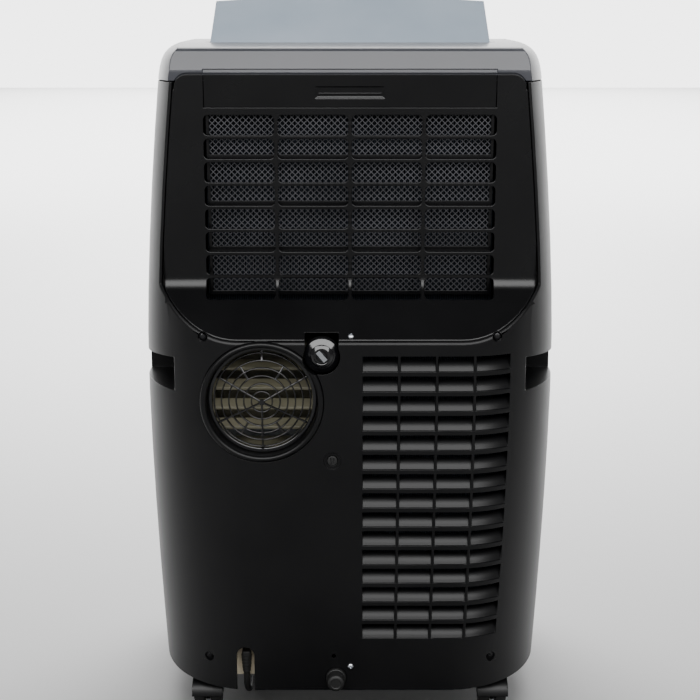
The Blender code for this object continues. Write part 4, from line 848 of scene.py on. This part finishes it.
def guard(centre):
    """Concentric round-backed rings on a shallow cone that rises to the hub, with five full spokes
    and short ones between the rings."""
    slope = 11.5 / 56

    def behind(radius):
        return -radius * slope

    parts = []
    for radius in (56.6, 51.8, 43.8, 35.8, 27.7, 19.5, 11.2):
        half = 2.4 if radius > 56 else 0.75
        dome = bow((radius, behind(radius) - 0.2), (half, 0.8), 0, 180, 6)
        low = behind(radius) - 2.4
        profile = [(radius - half, low), (radius + half, low), *dome, (radius - half, low)]
        parts.append(lathe("ring", [(r * mm, y * mm) for r, y in profile], centre, 64))
    grid = parts.pop(0)
    hub = [(0, -3.4), (3.4, -3.4), (3.4, -0.6), (2.7, 0.2), (0, 0.5)]
    parts.append(lathe("hub", [(r * mm, y * mm) for r, y in hub], centre, 32))
    for part in parts:
        boolean(grid, part, "UNION")
    spokes = [(angle, 2, 56) for angle in (28, 152, 208, 270, 332)] + [(90, 43, 56)]
    spokes += [(58, 28, 44), (122, 28, 44), (238, 28, 44), (302, 28, 44)]
    for angle, start, end in spokes:
        low, high = Vector((start, -0.5, -1.0)) * mm, Vector((end, 2.3, 1.0)) * mm
        spoke = block("spoke", centre + low, centre + high, 0.7 * mm)
        turned_about(spoke, centre, "Z", math.atan(slope))
        turned_about(spoke, centre, "Y", -math.radians(angle))
        boolean(grid, spoke, "UNION")
    grid.name = grid.data.name = "exhaust_grid"
    fitted(rounded(grid, 0.0), GLOSS, "exhaust_guard")


# ---- Drains and screws ------------------------------------------------------------------------
def drains():
    spot = place(KNOB[0], 0, KNOB[1])
    profile = [(0, -4), (7, -4), (7, -15), (8.6, -15), (8.6, -11), (18.5, -11), (18.5, -6.6), (18.2, -6.1),
               (12.6, -3.4), (12.3, -2.7), (9.4, -1.2), (8.8, -0.9), (8.3, -1.1), (8.2, -3.2), (0, -3.2)]
    knob = lathe("drain_knob", [(r * mm, y * mm) for r, y in profile], spot, 64)
    grip = block("knob_grip", spot + Vector((-6.6, 0.4, -2.5)) * mm, spot + Vector((6.6, 3.6, 2.5)) * mm,
                 0.7 * mm, 3)
    rounded(turned_about(grip, spot, "Y", math.radians(50)), 0.0)
    fitted(grip, GREY, body=BODY_OF["upper_drain_cap"])
    fitted(rounded(knob, 0.0), GLOSS, "upper_drain_cap")
    spot = place(DRAIN[0], 0, DRAIN[1])
    profile = [(0, 5 * mm), (7.5 * mm, 5 * mm), (7.5 * mm, -1 * mm), (11 * mm, -1 * mm), (11 * mm, 3.4 * mm),
               (10.5 * mm, 4 * mm), (9.9 * mm, 4.3 * mm), (9.5 * mm, 15 * mm), (9 * mm, 16.4 * mm),
               (7.8 * mm, 17.3 * mm), (6 * mm, 17.6 * mm), (5.2 * mm, 16.9 * mm), (0, 16.9 * mm)]
    stopper = lathe("drain_stopper", profile, spot, 48)
    fitted(rounded(stopper, 0.0), RUBBER, "lower_drain_cap")
    spot = place(BUNG[0], 0, BUNG[1])
    profile = [(0, -8 * mm), (5.5 * mm, -8 * mm), (5.5 * mm, -1 * mm), (5.1 * mm, -0.5 * mm),
               (4.4 * mm, -0.3 * mm), (0, -0.2 * mm)]
    bung = lathe("bung_disc", profile, spot, 40)
    for side in (-1, 1):
        low = spot + Vector((side * 1.7 * mm - 0.5 * mm, -3 * mm, -3.2 * mm))
        boolean(bung, block("groove", low, low + Vector((1.0 * mm, 4.1 * mm, 6.4 * mm))))
    fitted(rounded(bung, 0.15 * mm, 2), RUBBER, "drain_bung")


def screw_head(node, material, radius, rise, shank, length, spot, tilt=0.0):
    """A domed head with a cross recess."""
    dome = bow((0, 0), (radius, rise), 0, 90, 8)
    profile = [(0, -length), (shank, -length), (shank, 0), *dome[:-1], (0, rise)]
    screw = lathe(node + "_turned", profile, spot, 32)
    arms = []
    for wide, tall in ((0.5, 0.14), (0.14, 0.5)):
        half = Vector((radius * wide, 0, radius * tall))
        low = spot + Vector((-half.x, -rise - 1 * mm, -half.z))
        arms.append(block("arm", low, spot + Vector((half.x, -rise * 0.35, half.z))))
    for arm in arms:
        boolean(screw, arm)
    if tilt:
        turned_about(screw, spot, "X", tilt)
    fitted(rounded(screw, 0.0), material, node)


def screws():
    names = ("cover_screw_left", "cover_screw_right", "panel_screw_left", "panel_screw_right")
    for node, (x, z) in zip(names, screw_spots()):
        seat = max(rear_depth(x, z), z - 432 * mm) + 7 * mm
        screw_head(node, COATED, 4.2 * mm, 2.4 * mm, 1.7 * mm, 6.5 * mm, place(x, seat - 0.3 * mm, z))
    spot = place(0.6 * mm, -0.3 * mm, 65 * mm)
    screw_head("centre_screw_lower", ZINC, 3.5 * mm, 2.2 * mm, 1.5 * mm, 8 * mm, spot)
    spot = place(1 * mm, 6.7 * mm, 439.3 * mm)
    screw_head("centre_screw_upper", ZINC, 3.5 * mm, 2.2 * mm, 1.5 * mm, 6 * mm, spot, math.radians(-45))


# ---- Filter -----------------------------------------------------------------------------------
def filter_cassette():
    """Strip, frame and netting, drawn upright from the strip's top edge and then tilted."""
    top = place(0, PLATE - 0.4 * mm, PANEL_TOP - 0.4 * mm)

    def slab(name, x, y, z, rounding=0.0, segments=2):
        low = top + Vector((x[0], y[0], z[0])) * mm
        return block(name, low, top + Vector((x[1], y[1], z[1])) * mm, rounding * mm, segments)

    tray = slab("filter_tray", (-154, 154), (0, 2.2), (-34.2, 0))
    boolean(tray, slab("rails", (-153, 153), (0.6, 2.2), (-238, -19)), "UNION")
    for row in range(4):
        high = -34.2 if row == 0 else -40.6 - 49.8 * row
        boolean(tray, slab("window", (-149.5, 149.5), (-5, 20), (-84.2 - 49.8 * row, high)))
    for half, deep, low in ((38.5, 0.7, -26.4), (36.6, 1.6, -25.2)):
        boolean(tray, slab("pull", (-half, half), (-9, deep), (low, -11.8), 3.0, 4))
    boolean(tray, slab("pull_lip", (-33, 33), (0.9, 1.8), (-20.6, -19.4)), "UNION")
    rounded(tray, 0.45 * mm, 3)
    fitted(turned_about(tray, top, "X", FILTER_TILT), SEMI, "filter_frame")
    netting(top)


def netting(top):
    """Two layers of strands across each other, fused where they cross. The strands are 6.5 mm
    apart and 0.7 mm thick."""
    low, high = Vector((-150, 0, -236)) * mm, Vector((150, 0, -34.6)) * mm
    strands = []
    for slope, layer in ((1, 2.75), (-1, 3.15)):
        count = int((high.x - low.x + high.z - low.z) / (6.5 * mm))
        for i in range(1, count):
            reach = i * 6.5 * mm
            wide, tall = high.x - low.x, high.z - low.z
            start = Vector((low.x + min(reach, wide), 0, low.z + max(0.0, reach - wide)))
            end = Vector((low.x + max(0.0, reach - tall), 0, low.z + min(reach, tall)))
            if slope < 0:
                start.x, end.x = -start.x, -end.x
            strands.append((top + start + Vector((0, layer * mm, 0)), top + end + Vector((0, layer * mm, 0))))
    bm = bmesh.new()
    for start, end in strands:
        along = (end - start).normalized()
        side = Vector((0, 1, 0)).cross(along) * 0.38 * mm
        back = Vector((0, 0.2 * mm, 0))
        corners = [start + side - back, start - side - back, start - side + back, start + side + back]
        ring = [bm.verts.new(corner) for corner in corners]
        far = [bm.verts.new(corner + end - start) for corner in corners]
        for i in range(4):
            j = (i + 1) % 4
            bm.faces.new((ring[i], ring[j], far[j], far[i]))
        bm.faces.new(reversed(ring))
        bm.faces.new(far)
    bmesh.ops.recalc_face_normals(bm, faces=bm.faces)
    mesh = bpy.data.meshes.new("filter_netting")
    bm.to_mesh(mesh)
    bm.free()
    net = bpy.data.objects.new("filter_netting", mesh)
    bpy.context.scene.collection.objects.link(net)
    fitted(turned_about(net, top, "X", FILTER_TILT), NYLON, "filter_mesh")


# ---- Front, pocket, running gear --------------------------------------------------------------
def front_cover():
    cover = half_shell("front_shell", front_line, 190.5 * mm)
    fitted(rounded(cover, 0.7 * mm), SATIN, "front_cover")


def strain_relief():
    """A ribbed taper from the pocket's lining down to the lead."""
    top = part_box("strain_relief")[1][2]
    profile = [(0, 14 * mm), (6 * mm, 14 * mm)]
    for i in range(5):
        z, size = 13 * mm - i * 4 * mm, 6 * mm - i * 0.35 * mm
        profile += [(size, z), (size, z - 2.2 * mm), (size - 1.2 * mm, z - 2.4 * mm),
                    (size - 1.2 * mm, z - 3.8 * mm)]
    profile += [(4.0 * mm, -6.6 * mm), (0, -6.6 * mm)]
    relief = lathe("cord_relief", profile, place(POCKET, 17.5 * mm, 57 * mm), 32, "Z")
    neck = block("neck", place(POCKET - 5 * mm, 13 * mm, 66 * mm),
                 place(POCKET + 5 * mm, 29.5 * mm, top - 0.5 * mm), 2 * mm, 4)
    boolean(relief, neck, "UNION")
    fitted(rounded(relief, 0.0), RUBBER, "strain_relief")


def small_pieces():
    for node in frame["nodes"]:
        if node.startswith(("caster_fork", "caster_wheels")):
            refined(node, node.replace("caster", "castor"), SATIN if "fork" in node else RUBBER, 0.6 * mm)
        elif node.startswith(("guide_vane", "key_", "control_panel", "display_lens")):
            refined(node, node + "_moulding", SLOT_FINISH[SLOTS[node]], 0.3 * mm)
        elif node in ("base_pan", "outlet_duct", "pocket_lining", "drip_tray"):
            finish = LINING if node == "pocket_lining" else SLOT_FINISH[SLOTS[node]]
            refined(node, node + "_pressing", finish, 0.4 * mm)


rear_cover()
upper_rear_panel()
top_cover()
front_cover()
louver_flap()
exhaust()
drains()
screws()
filter_cassette()
strain_relief()
small_pieces()


# ---- Studio -----------------------------------------------------------------------------------
def studio():
    floor = started("studio_floor", bpy.ops.mesh.primitive_plane_add, size=30)
    material = blank("studio_paper", {"Roughness": 0.9, "Base Color": linear("#f0f0f0")})[0]
    floor.data.materials.append(material)
    world = bpy.data.worlds.new("studio")
    bpy.context.scene.world = world
    world.use_nodes = True
    tree = world.node_tree
    shell = tree.nodes["Background"]
    shell.inputs["Color"].default_value = (1, 1, 1, 1)
    spot = add(tree, "ShaderNodeTexCoord").outputs["Generated"]
    split = add(tree, "ShaderNodeSeparateXYZ", links={"Vector": spot})
    span = {"From Min": 0.45, "From Max": 0.85, "To Min": 0.05, "To Max": 1.0}
    behind = add(tree, "ShaderNodeMapRange", span, {"Value": split.outputs["Y"]})
    span = {"From Min": 0.3, "From Max": 0.75, "To Min": 4.2, "To Max": 0.25}
    low = add(tree, "ShaderNodeMapRange", span, {"Value": split.outputs["Z"]})
    fade = add(tree, "ShaderNodeMath", {"operation": "MULTIPLY"},
               {0: behind.outputs["Result"], 1: low.outputs["Result"]})
    tree.links.new(fade.outputs["Value"], shell.inputs["Strength"])
    paper, machine = bpy.data.collections.new("paper_lit"), bpy.data.collections.new("machine_lit")
    for group, state in ((paper, "INCLUDE"), (machine, "EXCLUDE")):
        group.objects.link(floor)
        group.collection_objects[0].light_linking.link_state = state
    for name, spot, aim, size, power, group in (
        ("softbox_key", (0.0, -2.2, 2.0), (0, -0.18, 0.4), (4.4, 1.5), 150, machine),
        ("softbox_back", (0.0, 1.5, 2.0), (0, 0, 0.6), (3.0, 1.2), 40, machine),
        ("paper_light_near", (0.0, 2.1, 1.5), (0, 2.1, 0), (2.4, 2.6), 105, paper),
        ("paper_light_far", (0.0, 9.5, 1.7), (0, 9.5, 0), (9.5, 12.0), 1900, paper),
    ):
        light = bpy.data.lights.new(name, "AREA")
        light.shape, light.size, light.size_y, light.energy = "RECTANGLE", size[0], size[1], power
        lamp = bpy.data.objects.new(name, light)
        lamp.location = spot
        lamp.rotation_euler = (Vector(aim) - Vector(spot)).to_track_quat("-Z", "Y").to_euler()
        bpy.context.scene.collection.objects.link(lamp)
        lamp.light_linking.receiver_collection = group
        lamp.visible_camera = False


studio()
